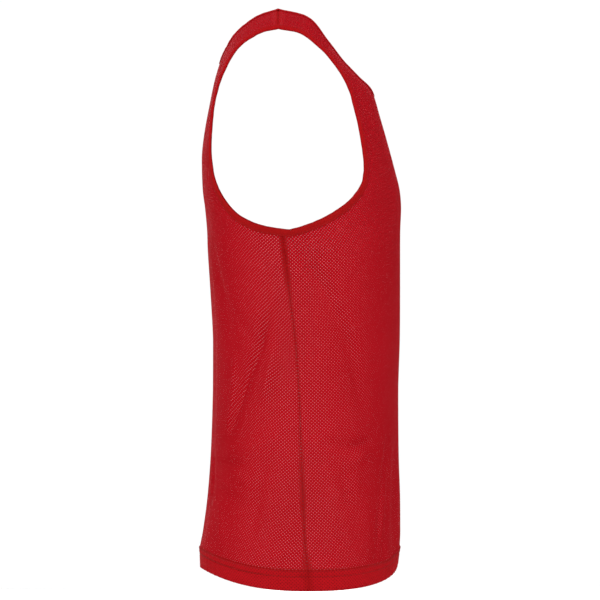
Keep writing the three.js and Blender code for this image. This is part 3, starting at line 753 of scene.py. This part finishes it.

# %% [markdown]
# The panel itself: the lowest rows run up again on the inside, so the hem is a real fold with
# two layers. Along the seams a narrow allowance lies behind the cloth. It is held open at both
# ends and stands on edge between them, so it looks broad in some places and narrow in others. The
# share called doubled is written on the cloth for its finish, since holes with a second layer
# behind them look dark, and the finish paints that shade into them. A second share darkens the
# sewn lines, partly as the seams' own dark line and partly as painted shade.

# %% Make a panel
# By level: the allowance's half width, and how dark the cloth over it is painted, as painted shade.
ALLOWANCE = {
    "z": (-697, -668, -652, -640, -622, -592, -560, -524, -502, -440, -400, -350, -325, -290, -262),
    "half": (5.6, 5.4, 3.4, 2.3, 2.4, 3.6, 3.6, 3.3, 2.0, 1.8, 2.4, 2.8, 4.2, 4.2, 4.2),
    "dark": (0.8, 0.8, 0.6, 0.75, 0.75, 0.9, 0.7, 0.4, 0.4, 0.4, 0.5, 0.6, 0.9, 1, 1),
}
ALLOWANCE_EDGE = 0.5
SHOULDER_ALLOWANCE = 4.0
SEWN_HALF = 0.8
SIDE_DARK, SHOULDER_DARK, HEM_DARK, FAINT_ROW, BAND_DARK = 0.72, 0.9, 0.9, 0.22, 0.55
SIDE_LINE_FROM, SIDE_LINE_OVER = -18, 24
HEM_EDGE_ABOVE, HEM_LINE_HALF = 0.4, 1.0
DARK_ROW_TO, DARK_ROW_FADE = 70, 3
# Two patches of painted shade, where the hem's thick corner is pushed in.
HEM_CORNER_SHADES = (("back", 86.8, 18, 0.6), ("front", 32.2, 12, 0.7))
CORNER_SHADE_HALF_TURN, CORNER_SHADE_HALF_HIGH = 1.6, 3
CLOTH_THICK = 0.55
TURNED_UP = 1.6
FOLD_NOSE = 0.5


def bell(off, half):
    return np.exp(-((off / half) ** 2))


# Painted darkening along the sewn lines: partly the seams' own dark line, partly painted shade in their
# grooves, under the hem's top edge and at two hem corners.
def sewn_and_shade_share(panel, turn, level, to_side, to_shoulder):
    above, line = level - (HEM + HEM_DEPTH), level - HEM
    out_of_hem = np.clip((above - SIDE_LINE_FROM) / SIDE_LINE_OVER, 0, 1)
    shares = [
        SIDE_DARK * out_of_hem * bell(to_side, SEWN_HALF),
        SHOULDER_DARK * bell(to_shoulder, SEWN_HALF),
        HEM_DARK * bell(above - HEM_EDGE_ABOVE, HEM_LINE_HALF),
    ]
    strong = HEM_DARK / (1 + np.exp((turn - DARK_ROW_TO) / DARK_ROW_FADE)) if panel == "back" else 0
    shares.append(np.maximum(strong, FAINT_ROW) * bell(line - NEEDLE_LINES[1], HEM_LINE_HALF))
    for shade_panel, shade_turn, shade_line, dark in HEM_CORNER_SHADES:
        if shade_panel == panel:
            corner_shade = bell(turn - shade_turn, CORNER_SHADE_HALF_TURN) * bell(line - shade_line, CORNER_SHADE_HALF_HIGH)
            shares.append(dark * corner_shade)
    return np.max(shares, axis=0)


def cloth_shares(panel, places, across):
    turn, level = places[:, 0], places[:, 1]
    to_side = flat_address(panel, np.full(len(places), QUARTER), level)[0] - across
    to_shoulder = TOP[panel] - level
    band = read_at(ALLOWANCE, "z", level)
    in_band = band["dark"] / (1 + np.exp((to_side - band["half"]) / ALLOWANCE_EDGE))
    on_shoulder = 1 / (1 + np.exp((to_shoulder - SHOULDER_ALLOWANCE) / ALLOWANCE_EDGE))
    in_hem = level <= HEM + HEM_DEPTH + 0.5
    sewn = sewn_and_shade_share(panel, turn, level, to_side, to_shoulder)
    doubled = np.max([in_band, on_shoulder, in_hem], axis=0)
    return np.stack([doubled, np.maximum(sewn, BAND_DARK * in_band)], axis=-1)


def make_panel(panel, name):
    columns = half_panel(panel)
    half = len(columns) - 1
    rows = max(len(column) for column in columns) + HEM_ROWS + 1
    points = np.full((2 * half + 1, rows, 3), np.nan)
    address = np.zeros((2 * half + 1, rows, 2))
    shares = np.zeros((2 * half + 1, rows, 2))
    for index in range(-half, half + 1):
        side = -1 if index < 0 else 1
        places = columns[abs(index)]
        laid, _ = lay_places(panel, side, places)
        inside, _ = lay_places(panel, side, places[HEM_ROWS::-1], TURNED_UP)
        nose, _ = lay_places(panel, side, places[:1], TURNED_UP / 2)
        inside[-1] = nose[0] - np.array([0, 0, FOLD_NOSE])
        count = len(places) + HEM_ROWS + 1
        points[index + half, :count] = np.concatenate([inside, laid])
        across, upward = flat_address(panel, places[:, 0], places[:, 1])
        address[index + half, :count, 0] = side * np.concatenate([across[HEM_ROWS::-1], across])
        address[index + half, :count, 1] = np.concatenate([-upward[HEM_ROWS::-1], upward])
        shares[index + half, : HEM_ROWS + 1] = (1, 0)
        shares[index + half, HEM_ROWS + 1 : count] = cloth_shares(panel, places, across)
    piece, column, row = flat_grid(name, 2 * half, rows - 1)
    kept = ~np.isnan(points[column, row, 0])
    cut_away(piece, ~kept)
    column, row = column[kept], row[kept]
    place_points(piece, points[column, row])
    write_uv(piece, address[column, row, 0] + CELL_WIDE / 4, address[column, row, 1])
    write_share(piece, "doubled", shares[column, row, 0])
    # This share darkens the sewn lines, partly as their own colour and partly as painted shade.
    write_share(piece, "seam_and_painted_shade", shares[column, row, 1])
    if panel == "back":
        edit_all(piece, bpy.ops.mesh.flip_normals)
    piece.data.update()
    area = sum(polygon.area for polygon in piece.data.polygons)
    cut = (2 * address[:, :, 0].max() * MM, (address[:, :, 1].max() - address[:, :, 1].min()) * MM)
    for _ in range(2):
        piece.data.materials.append(None)
    give_thickness(piece, CLOTH_THICK, inner_slot=1)
    print(name, "cut", [round(size, 3) for size in cut], "area", round(area, 3))
    print(name, "faces", len(piece.data.polygons))
    return piece, cut, area


front, front_cut, front_area = make_panel("front", "front_mesh_panel")
back, back_cut, back_area = make_panel("back", "back_mesh_panel")

# %% [markdown]
# ## Binding tape
# The tape is a strip of close knit, folded round the raw edge and caught by one row of stitches.
# So a strip of grid is folded into a narrow U and carried round the whole opening. Its ends are
# merged into a ring, and then it gets its thickness, as the panels do.

# %% The tape's section and its run round an opening
TAPE_SECTION = [
    (7.9, 0.3), (7.3, 0.52), (6.3, 0.34), (5.2, 0.5), (3.4, 0.6), (1.6, 0.55), (0.6, 0.15),
    (0.15, -0.7), (0.5, -1.5), (1.4, -1.95), (3.0, -2.05), (5.0, -2.0), (7.2, -2.0), (7.9, -1.8),
]
STITCHED_AT, BEHIND_STITCH = 2, 12
TAPE_THICK = 0.6
TAPE_WAVE, TAPE_WAVE_FADE = 0.18, 20
STRAP_FROM, STRAP_OVER = -225, 80


def tape_places(panel, side, edge, sense):
    rows = []
    for far, height in TAPE_SECTION:
        moved = inset_edge(panel, edge, far, sense)
        normal = form_normals(panel, moved[:, 0], moved[:, 1])
        rows.append((form_points(panel, moved[:, 0], moved[:, 1]) + normal * height) * np.array([side, 1, 1]))
    return np.stack(rows, axis=1)


def ring_run(edges, sense, legs):
    stations = []
    for panel, side, forward in legs:
        laid = tape_places(panel, side, edges[panel], sense)
        stations.append((laid if forward else laid[::-1])[:-1])
    ring = np.concatenate(stations)
    return np.concatenate([ring, ring[:1]])


def run_along(line):
    return np.concatenate([[0], np.cumsum(np.linalg.norm(np.diff(line, axis=0), axis=-1))])


def bind(name, edges, sense, legs):
    ring = ring_run(edges, sense, legs)
    run, wide = run_along(ring[:, STITCHED_AT]), run_along(ring[0])
    fade = np.minimum(np.minimum(run, run[-1] - run) / TAPE_WAVE_FADE, 1)
    waved = ring + TAPE_WAVE * (fade * uneven_wave(run, len(name)))[:, None, None]
    piece, column, row = flat_grid(name, len(ring) - 1, len(TAPE_SECTION) - 1)
    place_points(piece, waved[column, row])
    write_uv(piece, run[column], wide[row])
    # This share rises towards the straps and carries the tape's painted light.
    write_share(piece, "painted_light_on_strap", np.clip((waved[column, row, 2] - STRAP_FROM) / STRAP_OVER, 0, 1))
    sewn, behind = ring[0, STITCHED_AT], ring[0, BEHIND_STITCH]
    face_out(piece, Vector(sewn - behind), Vector(sewn * MM))
    give_thickness(piece, TAPE_THICK)
    print(name, "runs", round(run[-1]), "mm round its opening, cut", round(wide[-1], 1), "mm wide")
    return piece, (wide[-1] * MM, run[-1] * MM), ring


ARM_RIGHT = [("front", -1, True), ("back", -1, False)]
ARM_LEFT = [("front", 1, True), ("back", 1, False)]
NECK_ROUND = [("front", 1, True), ("front", -1, False), ("back", -1, True), ("back", 1, False)]
tapes = {
    "armhole_tape_right": bind("armhole_tape_right", ARMHOLE, -1, ARM_RIGHT),
    "armhole_tape_left": bind("armhole_tape_left", ARMHOLE, -1, ARM_LEFT),
    "neck_tape": bind("neck_tape", NECKLINE, 1, NECK_ROUND),
}

# %% [markdown]
# ## Seam allowances
# Where two panels are sewn, a narrow strip of both lies inside, overcast and laid open. It can't be
# seen itself, but the mesh is not see-through over it. The darker strip that this draws along the
# seam is painted on the cloth as shade.

# %% Make the seam allowances
ALLOWANCE_THICK = 0.9
BEHIND_CLOTH = 1.15
SEAM_FOOT, SEAM_HEAD = HEM + 2, -266.4 - 7
LEFT_NARROWER = 0.9
SHOULDER_CLEAR, SHOULDER_ENDS = 0.4, 0.9
SHOULDER_LENGTH = 60


def allowance_strip(name, grid, across, upward, outward, near):
    columns, rows = grid.shape[0] - 1, grid.shape[1] - 1
    piece, column, row = flat_grid(name, columns, rows)
    place_points(piece, grid[column, row])
    write_uv(piece, across[column, row], upward[column, row])
    face_out(piece, Vector(outward), Vector(near * MM))
    give_thickness(piece, ALLOWANCE_THICK)
    print(name, "faces", len(piece.data.polygons))
    return piece


def make_side_allowance(side, name, count=120, ribs=6):
    levels = np.linspace(SEAM_FOOT, SEAM_HEAD, count)
    wide = read_at(ALLOWANCE, "z", levels)["half"] * (1 if side < 0 else LEFT_NARROWER)
    sunk = BEHIND_CLOTH + TURNED_UP * (levels < HEM + HEM_DEPTH)
    grid = np.zeros((ribs, count, 3))
    for rib in range(ribs):
        panel = "back" if rib < ribs / 2 else "front"
        along, _ = form_directions(panel, np.full(count, QUARTER - 1.0), levels)
        off = wide * abs(2 * rib / (ribs - 1) - 1)
        turns = QUARTER - off / np.linalg.norm(along, axis=-1)
        grid[rib] = lay_places(panel, side, np.stack([turns, levels], axis=-1), sunk)[0]
    across = np.linspace(0, 2, ribs)[:, None] * wide
    upward = np.broadcast_to(levels - HEM, across.shape)
    return allowance_strip(name, grid, across, upward, (side, 0, 0), grid[0, count // 2])


def make_shoulder_allowance(side, name, count=20, ribs=4):
    outer, inner = ARMHOLE["back"][0, 0], NECKLINE["back"][0, 0]
    turns = np.linspace(inner + SHOULDER_ENDS, outer - SHOULDER_ENDS, count)
    grid = np.zeros((count, ribs, 3))
    for rib in range(ribs):
        off = SHOULDER_CLEAR + (SHOULDER_ALLOWANCE - SHOULDER_CLEAR) * rib / (ribs - 1)
        places = np.stack([turns, np.full(count, TOP["back"] - off)], axis=-1)
        grid[:, rib] = lay_places("back", side, places, BEHIND_CLOTH)[0]
    across, upward = np.meshgrid(
        np.linspace(0, SHOULDER_LENGTH, count), np.linspace(0, SHOULDER_ALLOWANCE, ribs), indexing="ij"
    )
    return allowance_strip(name, grid, across, upward, (0, 0, 1), grid[count // 2, 0])


allowances = [
    make_side_allowance(-1, "side_seam_allowance_right"),
    make_side_allowance(1, "side_seam_allowance_left"),
    make_shoulder_allowance(-1, "shoulder_seam_allowance_right"),
    make_shoulder_allowance(1, "shoulder_seam_allowance_left"),
]

# %% [markdown]
# ## Stitches
# One stitch is modelled: a short round thread, pulled in at both ends. It is then copied along
# each sewn line, a pitch apart. There are many hundreds, so each has only a few faces. Each kind
# of stitch has its pitch and its thread's length in millimetres.

# %% Model one stitch
start_clean()
bpy.ops.mesh.primitive_uv_sphere_add(segments=6, ring_count=4, radius=0.5)
one_stitch = bpy.context.object
one_stitch.name = "one_stitch"
bpy.ops.object.mode_set(mode="EDIT")
bpy.ops.mesh.select_all(action="SELECT")
bpy.ops.transform.rotate(value=math.pi / 2, orient_axis="Y", center_override=(0, 0, 0))
bpy.ops.transform.resize(value=(1.0, 0.34, 0.22), center_override=(0, 0, 0))
bpy.ops.object.mode_set(mode="OBJECT")
stitch_points = np.array([tuple(vertex.co) for vertex in one_stitch.data.vertices])
stitch_faces = [tuple(polygon.vertices) for polygon in one_stitch.data.polygons]
bpy.data.objects.remove(one_stitch)
print("one stitch has", len(stitch_faces), "faces")


# %% Copy the stitch along a line
HEM_STITCH, TAPE_STITCH, STRAP_STITCH = (3.1, 2.5), (3.0, 2.4), (2.6, 1.1)
HEM_STATIONS = 200
STRAP_ROW_FROM, STRAP_ROW_IN = -72, 11.5


def stitch_line(line, normals, pitch, length):
    run = run_along(line)
    count = max(int(run[-1] / pitch), 1)
    middles = (np.arange(count) + 0.5) * run[-1] / count

    def at(places, values):
        return np.stack([np.interp(places, run, values[:, axis]) for axis in range(3)], axis=-1)

    place = at(middles, line)
    ahead = at(middles + length / 2, line) - at(middles - length / 2, line)
    ahead /= np.linalg.norm(ahead, axis=-1, keepdims=True)
    out = at(middles, normals)
    out -= ahead * (out * ahead).sum(-1, keepdims=True)
    out /= np.linalg.norm(out, axis=-1, keepdims=True)
    aside = np.cross(out, ahead)
    shape = stitch_points * length
    return (
        place[:, None]
        + shape[None, :, 0:1] * ahead[:, None]
        + shape[None, :, 1:2] * aside[:, None]
        + shape[None, :, 2:3] * out[:, None]
    )


def sew(name, stitches):
    stitches = np.concatenate(stitches)
    count, size = stitches.shape[:2]
    faces = [tuple(index + size * copy for index in face) for copy in range(count) for face in stitch_faces]
    mesh = bpy.data.meshes.new(name)
    mesh.from_pydata((stitches.reshape(-1, 3) * MM).tolist(), [], faces)
    piece = bpy.data.objects.new(name, mesh)
    bpy.context.collection.objects.link(piece)
    edit_all(piece, bpy.ops.mesh.normals_make_consistent)
    bpy.ops.object.shade_smooth()
    print(name, count, "stitches,", len(faces), "faces")
    return piece


def hem_stitches(panel):
    rows = []
    turns = np.linspace(0.4, QUARTER - 0.4, HEM_STATIONS)
    for side in (-1, 1):
        for line in NEEDLE_LINES:
            places = np.stack([turns, np.full(HEM_STATIONS, HEM + line)], axis=-1)
            laid, normal = lay_places(panel, side, places, -0.05)
            rows.append(stitch_line(laid, normal, *HEM_STITCH))
    return rows


hem_thread = {panel: sew(panel + "_hem_stitches", hem_stitches(panel)) for panel in FORM}


def tape_stitches(ring):
    line = ring[:, STITCHED_AT]
    over = line - ring[:, BEHIND_STITCH]
    normals = over / np.linalg.norm(over, axis=-1, keepdims=True)
    return [stitch_line(line, normals, *TAPE_STITCH)]


def strap_stitches(panel, side):
    edge = ARMHOLE[panel][ARMHOLE[panel][:, 1] > STRAP_ROW_FROM]
    places = inset_edge(panel, edge, STRAP_ROW_IN, -1)[1:-1]
    laid, normal = lay_places(panel, side, places, -0.02)
    return stitch_line(laid, normal, *STRAP_STITCH)


strap_lines = [strap_stitches(panel, side) for panel in FORM for side in (-1, 1)]
strap_thread = sew("strap_stitches", strap_lines)
tape_thread = {name: sew(name + "_stitches", tape_stitches(ring)) for name, (_, _, ring) in tapes.items()}

# %% [markdown]
# ## Finishes
# Open polyester mesh is knitted with small round holes in staggered rows. Making a million real
# holes would be far too heavy, so the holes are drawn on the flat address of the cloth and made
# see-through. Past a hole one sees a little of the room or the far panel, and a pale pink painted
# light on the inner skin. Where a second layer lies close behind, the hole stays shut and is
# painted dark, as painted shade of that layer.

# %% Node helpers
def new_group(name, inputs, outputs):
    tree = bpy.data.node_groups.new(name, "ShaderNodeTree")
    for label, kind, value in inputs:
        socket = tree.interface.new_socket(label, in_out="INPUT", socket_type=kind)
        if value is not None:
            socket.default_value = value
    for label, kind in outputs:
        tree.interface.new_socket(label, in_out="OUTPUT", socket_type=kind)
    return tree, tree.nodes.new("NodeGroupInput"), tree.nodes.new("NodeGroupOutput")


def feed(tree, socket, value):
    if isinstance(value, bpy.types.NodeSocket):
        tree.links.new(value, socket)
    else:
        socket.default_value = value


def calc(tree, work, *values):
    node = tree.nodes.new("ShaderNodeMath")
    node.operation = work
    for socket, value in zip(node.inputs, values):
        feed(tree, socket, value)
    return node.outputs[0]


def ease(tree, value, start, end, to_start=0.0, to_end=1.0):
    node = tree.nodes.new("ShaderNodeMapRange")
    node.interpolation_type = "SMOOTHSTEP"
    labels = ("Value", "From Min", "From Max", "To Min", "To Max")
    for label, number in zip(labels, (value, start, end, to_start, to_end)):
        feed(tree, node.inputs[label], number)
    return node.outputs["Result"]


def noise(tree, vector, scale, detail=2.0):
    node = tree.nodes.new("ShaderNodeTexNoise")
    feed(tree, node.inputs["Vector"], vector)
    node.inputs["Scale"].default_value = scale
    node.inputs["Detail"].default_value = detail
    return node


def mix_colour(tree, share, first, second):
    node = tree.nodes.new("ShaderNodeMix")
    node.data_type = "RGBA"
    feed(tree, node.inputs["Factor"], share)
    feed(tree, node.inputs["A"], first)
    feed(tree, node.inputs["B"], second)
    return node.outputs["Result"]


print("node helpers ready")

# %% The hole lattice
HOLE_RADIUS, HOLE_EDGE, RIM_WIDE = 0.6, 0.1, 0.75
DRIFT = 0.0006


def build_hole_lattice():
    tree, given, result = new_group(
        "hole_lattice",
        [
            ("Vector", "NodeSocketVector", None),
            ("Cell Width", "NodeSocketFloat", CELL_WIDE),
            ("Cell Height", "NodeSocketFloat", CELL_HIGH),
            ("Hole Radius", "NodeSocketFloat", HOLE_RADIUS),
        ],
        [("Hole", "NodeSocketFloat"), ("Rim", "NodeSocketFloat"), ("Row", "NodeSocketFloat")],
    )
    drift = noise(tree, given.outputs["Vector"], 45.0)
    shift = tree.nodes.new("ShaderNodeVectorMath")
    shift.operation = "MULTIPLY_ADD"
    tree.links.new(drift.outputs["Color"], shift.inputs[0])
    shift.inputs[1].default_value = (DRIFT, DRIFT, 0)
    tree.links.new(given.outputs["Vector"], shift.inputs[2])
    split = tree.nodes.new("ShaderNodeSeparateXYZ")
    tree.links.new(shift.outputs[0], split.inputs[0])
    across = calc(tree, "MULTIPLY", split.outputs["X"], MM_IN_METRE)
    upward = calc(tree, "MULTIPLY", split.outputs["Y"], MM_IN_METRE)
    gaps = []
    for start in (0.0, 0.5):
        sides = []
        for place, pitch in ((across, given.outputs["Cell Width"]), (upward, given.outputs["Cell Height"])):
            cells = calc(tree, "ADD", calc(tree, "DIVIDE", place, pitch), start)
            inside = calc(tree, "SUBTRACT", calc(tree, "FRACT", cells), 0.5)
            sides.append(calc(tree, "MULTIPLY", inside, pitch))
        squares = [calc(tree, "MULTIPLY", side, side) for side in sides]
        gaps.append(calc(tree, "SQRT", calc(tree, "ADD", *squares)))
    gap = calc(tree, "MINIMUM", *gaps)
    radius = given.outputs["Hole Radius"]
    inner = calc(tree, "SUBTRACT", radius, HOLE_EDGE)
    outer = calc(tree, "ADD", radius, HOLE_EDGE)
    tree.links.new(ease(tree, gap, inner, outer, 1.0, 0.0), result.inputs["Hole"])
    far = calc(tree, "ADD", radius, RIM_WIDE)
    tree.links.new(ease(tree, gap, radius, far, 1.0, 0.0), result.inputs["Rim"])
    turned = calc(tree, "DIVIDE", calc(tree, "MULTIPLY", upward, 2 * math.pi), given.outputs["Cell Height"])
    wave = calc(tree, "MULTIPLY", calc(tree, "COSINE", turned), 0.5)
    tree.links.new(calc(tree, "ADD", wave, 0.5), result.inputs["Row"])
    return tree


hole_lattice = build_hole_lattice()
print("hole lattice nodes:", len(hole_lattice.nodes))

# %% [markdown]
# Yarn is never one flat colour. A fine grain from the filaments and a broad, faint unevenness
# from the dye are shared by the mesh, the tape and the thread, so they are one group too.

# %% Yarn grain
FINE_SCALE, BROAD_SCALE, FINE_SHARE = 1600.0, 9.0, 0.6


def build_yarn_grain():
    tree, given, result = new_group(
        "yarn_grain",
        [("Vector", "NodeSocketVector", None), ("Amount", "NodeSocketFloat", 1.0)],
        [("Shade", "NodeSocketFloat"), ("Height", "NodeSocketFloat")],
    )
    fine = noise(tree, given.outputs["Vector"], FINE_SCALE, 1.0).outputs["Fac"]
    broad = noise(tree, given.outputs["Vector"], BROAD_SCALE).outputs["Fac"]
    fine_part = calc(tree, "MULTIPLY", fine, FINE_SHARE)
    both = calc(tree, "ADD", fine_part, calc(tree, "MULTIPLY", broad, 1 - FINE_SHARE))
    tree.links.new(calc(tree, "MULTIPLY", both, given.outputs["Amount"]), result.inputs["Shade"])
    tree.links.new(calc(tree, "MULTIPLY", fine, given.outputs["Amount"]), result.inputs["Height"])
    return tree


yarn_grain = build_yarn_grain()
print("yarn grain nodes:", len(yarn_grain.nodes))


# %% A cloth material's common parts
CLOTH_GLOSS, THREAD_GLOSS = 0.012, 0.1


def use_group(tree, group, **values):
    node = tree.nodes.new("ShaderNodeGroup")
    node.node_tree = group
    for label, value in values.items():
        feed(tree, node.inputs[label], value)
    return node


def plain_finish(name, rough, gloss):
    finish = bpy.data.materials.new(name)
    finish.use_nodes = True
    shader = finish.node_tree.nodes["Principled BSDF"]
    shader.inputs["Roughness"].default_value = rough
    shader.inputs["Specular IOR Level"].default_value = gloss
    return finish, finish.node_tree, shader


def new_finish(name, rough):
    finish, tree, shader = plain_finish(name, rough, CLOTH_GLOSS)
    flat = tree.nodes.new("ShaderNodeUVMap")
    flat.uv_map = "cut"
    grain = use_group(tree, yarn_grain, Vector=flat.outputs["UV"], Amount=1.0)
    return finish, tree, shader, flat.outputs["UV"], grain


def raise_relief(tree, shader, height, deep):
    bump = tree.nodes.new("ShaderNodeBump")
    bump.inputs["Distance"].default_value = deep
    bump.inputs["Strength"].default_value = 1.0
    feed(tree, bump.inputs["Height"], height)
    tree.links.new(bump.outputs["Normal"], shader.inputs["Normal"])


def share_of(tree, name):
    node = tree.nodes.new("ShaderNodeAttribute")
    node.attribute_name = name
    return node.outputs["Fac"]


print("finish helpers ready")

# %% [markdown]
# ## Mesh cloth
# The yarn is a clear deep red. Along the sewn lines it is painted darker, partly as the seams' own
# dark line and partly as painted shade in their grooves, along the hem's top edge and at two hem
# corners. Each row of holes also gets a faint band of painted shade. The cloth has two skins, an
# outer and an inner one. On the inner skin most of each hole is filled with a pale pink, a painted
# light that stands in for the lit inside seen through the mesh. Seen square on it gives mesh its
# pale speckle. Seen at a slant the outer hole lies over the inner skin's shaded yarn, so it turns dark.

# %% Mesh cloth finish
RED_YARN = (0.402, 0.003, 0.0088, 1)
DEEP_YARN = (0.345, 0.0024, 0.0066, 1)
# Dark red of the sewn lines, which also carries painted shade.
SEAM_RED_AND_SHADE = (0.235, 0.0042, 0.0042, 1)
HEM_YARN = (0.378, 0.006, 0.0098, 1)
# Painted shade of a second layer lying close behind a hole.
HOLE_PAINTED_SHADE = (0.1, 0.005, 0.005, 1)
# Pale pink painted light in the holes, standing in for the lit inside seen through the mesh.
HOLE_PAINTED_LIGHT = (0.68, 0.19, 0.215, 1)
CLOTH_ROUGH = 0.85
# The share of each hole that the painted pale light fills, on the outer and on the inner skin.
OUTER_COVER, INNER_COVER = 0.05, 0.85
HOLES_OVER_LAYER = 0.85
ROW_PAINTED_SHADE, HEM_SHADE = 0.12, 0.9
GRAIN_HIGH, ROW_HIGH, MESH_DEEP = 0.35, 0.5, 0.0003


def mesh_finish(name, cover):
    finish, tree, shader, flat, grain = new_finish(name, CLOTH_ROUGH)
    lattice = use_group(tree, hole_lattice, Vector=flat)
    yarn = mix_colour(tree, ease(tree, grain.outputs["Shade"], 0.3, 0.7), DEEP_YARN, RED_YARN)
    row = lattice.outputs["Row"]
    # A faint band of painted shade along each row of holes.
    yarn = mix_colour(tree, calc(tree, "MULTIPLY", row, ROW_PAINTED_SHADE), yarn, SEAM_RED_AND_SHADE)
    doubled = share_of(tree, "doubled")
    yarn = mix_colour(tree, calc(tree, "MULTIPLY", doubled, HEM_SHADE), yarn, HEM_YARN)
    # The sewn lines are painted darker here, partly as painted shade.
    yarn = mix_colour(tree, share_of(tree, "seam_and_painted_shade"), yarn, SEAM_RED_AND_SHADE)
    # Over a second layer the hole is painted dark, as painted shade of that layer.
    hole_colour = mix_colour(tree, doubled, HOLE_PAINTED_LIGHT, HOLE_PAINTED_SHADE)
    closed = calc(tree, "MULTIPLY", doubled, 1 - HOLES_OVER_LAYER)
    hole = calc(tree, "MULTIPLY", lattice.outputs["Hole"], calc(tree, "SUBTRACT", 1.0, closed))
    yarn = mix_colour(tree, hole, yarn, hole_colour)
    tree.links.new(yarn, shader.inputs["Base Color"])
    through = calc(tree, "SUBTRACT", 1.0, doubled)
    openness = calc(tree, "MULTIPLY", calc(tree, "MULTIPLY", hole, through), 1 - cover)
    tree.links.new(calc(tree, "SUBTRACT", 1.0, openness), shader.inputs["Alpha"])
    relief = calc(tree, "MULTIPLY", grain.outputs["Height"], GRAIN_HIGH)
    relief = calc(tree, "SUBTRACT", relief, lattice.outputs["Rim"])
    relief = calc(tree, "SUBTRACT", relief, calc(tree, "MULTIPLY", row, ROW_HIGH))
    raise_relief(tree, shader, relief, MESH_DEEP)
    print(name, "nodes:", len(tree.nodes))
    return finish


mesh_outside = mesh_finish("mesh_outside_finish", OUTER_COVER)
mesh_inside = mesh_finish("mesh_inside_finish", INNER_COVER)

# %% [markdown]
# ## Tape and thread
# The tape is a close knit in the same dye. Its colour is painted darker than the mesh's yarn, as
# painted shade, because no light comes through it. Fine ribs cross it at a slant, and up the
# straps a painted light makes it a little paler. The thread is a shade deeper, and only the faint
# rows along the straps are sewn in a paler one.

# %% Tape and thread finishes
# The tape's reds are painted darker than the mesh yarn, as painted shade.
TAPE_RED = (0.31, 0.0062, 0.0065, 1)
TAPE_DEEP = (0.24, 0.0045, 0.005, 1)
# A paler red painted on the straps, as painted light.
TAPE_PAINTED_LIGHT = (0.345, 0.0045, 0.007, 1)
THREAD_RED = (0.24, 0.006, 0.008, 1)
PALE_THREAD = (0.5, 0.05, 0.06, 1)

TAPE_SHEEN, SHEEN_ROUGH = 0.02, 0.45
SHEEN_TINT = (0.9, 0.1, 0.12, 1)
RIBS_ALONG, RIBS_ACROSS = 2900, 1700
STRAP_PAINTED_LIGHT, TAPE_RELIEF = 0.7, 0.00012


def make_tape_finish():
    finish, tree, shader, flat, grain = new_finish("binding_tape_finish", CLOTH_ROUGH)
    shader.inputs["Sheen Weight"].default_value = TAPE_SHEEN
    shader.inputs["Sheen Roughness"].default_value = SHEEN_ROUGH
    shader.inputs["Sheen Tint"].default_value = SHEEN_TINT
    split = tree.nodes.new("ShaderNodeSeparateXYZ")
    tree.links.new(flat, split.inputs[0])
    along = calc(tree, "MULTIPLY", split.outputs["X"], RIBS_ALONG)
    slant = calc(tree, "ADD", along, calc(tree, "MULTIPLY", split.outputs["Y"], RIBS_ACROSS))
    rib = calc(tree, "ADD", calc(tree, "MULTIPLY", calc(tree, "SINE", slant), 0.5), 0.5)
    shade = calc(tree, "MULTIPLY", grain.outputs["Shade"], 0.5)
    tone = mix_colour(tree, calc(tree, "ADD", calc(tree, "MULTIPLY", rib, 0.5), shade), TAPE_DEEP, TAPE_RED)
    # Up the straps the tape is painted paler, as painted light.
    painted_light_on_strap = calc(tree, "MULTIPLY", share_of(tree, "painted_light_on_strap"), STRAP_PAINTED_LIGHT)
    tree.links.new(mix_colour(tree, painted_light_on_strap, tone, TAPE_PAINTED_LIGHT), shader.inputs["Base Color"])
    relief = calc(tree, "ADD", rib, grain.outputs["Height"])
    raise_relief(tree, shader, relief, TAPE_RELIEF)
    return finish


def make_thread_finish(name, colour):
    finish, _, shader = plain_finish(name, 0.7, THREAD_GLOSS)
    shader.inputs["Base Color"].default_value = colour
    return finish


def make_allowance_finish():
    finish, tree, shader, _, grain = new_finish("allowance_finish", 0.75)
    tone = mix_colour(tree, grain.outputs["Shade"], SEAM_RED_AND_SHADE, DEEP_YARN)
    tree.links.new(tone, shader.inputs["Base Color"])
    return finish


tape_finish = make_tape_finish()
thread_finish = make_thread_finish("thread_finish", THREAD_RED)
pale_thread_finish = make_thread_finish("pale_thread_finish", PALE_THREAD)
allowance_finish = make_allowance_finish()
print("finishes:", [m.name for m in bpy.data.materials if m.name.endswith("_finish")])

# %% [markdown]
# ## Putting it on the frame
# Every piece rides on the bib's one body. The two panels and the tapes stand for the plain
# solids of the frame, which are hidden, and each piece is given its finishes.

# %% Finishes, hidden solids and the body
def dress(piece, slot, *finishes):
    while len(piece.data.materials) < len(finishes):
        piece.data.materials.append(None)
    for index, finish in enumerate(finishes):
        piece.data.materials[index] = finish
    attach(piece, "root")


for piece in (front, back):
    dress(piece, "mesh_cloth", mesh_outside, mesh_inside)
for piece in allowances:
    dress(piece, "mesh_cloth", allowance_finish)
for piece in (*hem_thread.values(), *tape_thread.values()):
    dress(piece, "binding", thread_finish)
dress(strap_thread, "binding", pale_thread_finish)
for piece, _, _ in tapes.values():
    dress(piece, "binding", tape_finish)

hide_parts("front_panel")
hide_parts("back_panel")
for name, node in (
    ("armhole_tape_right", "armhole_binding_right"),
    ("armhole_tape_left", "armhole_binding_left"),
    ("neck_tape", "neck_binding"),
):
    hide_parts(node)

print("declared sheets:", 2 + len(tapes))
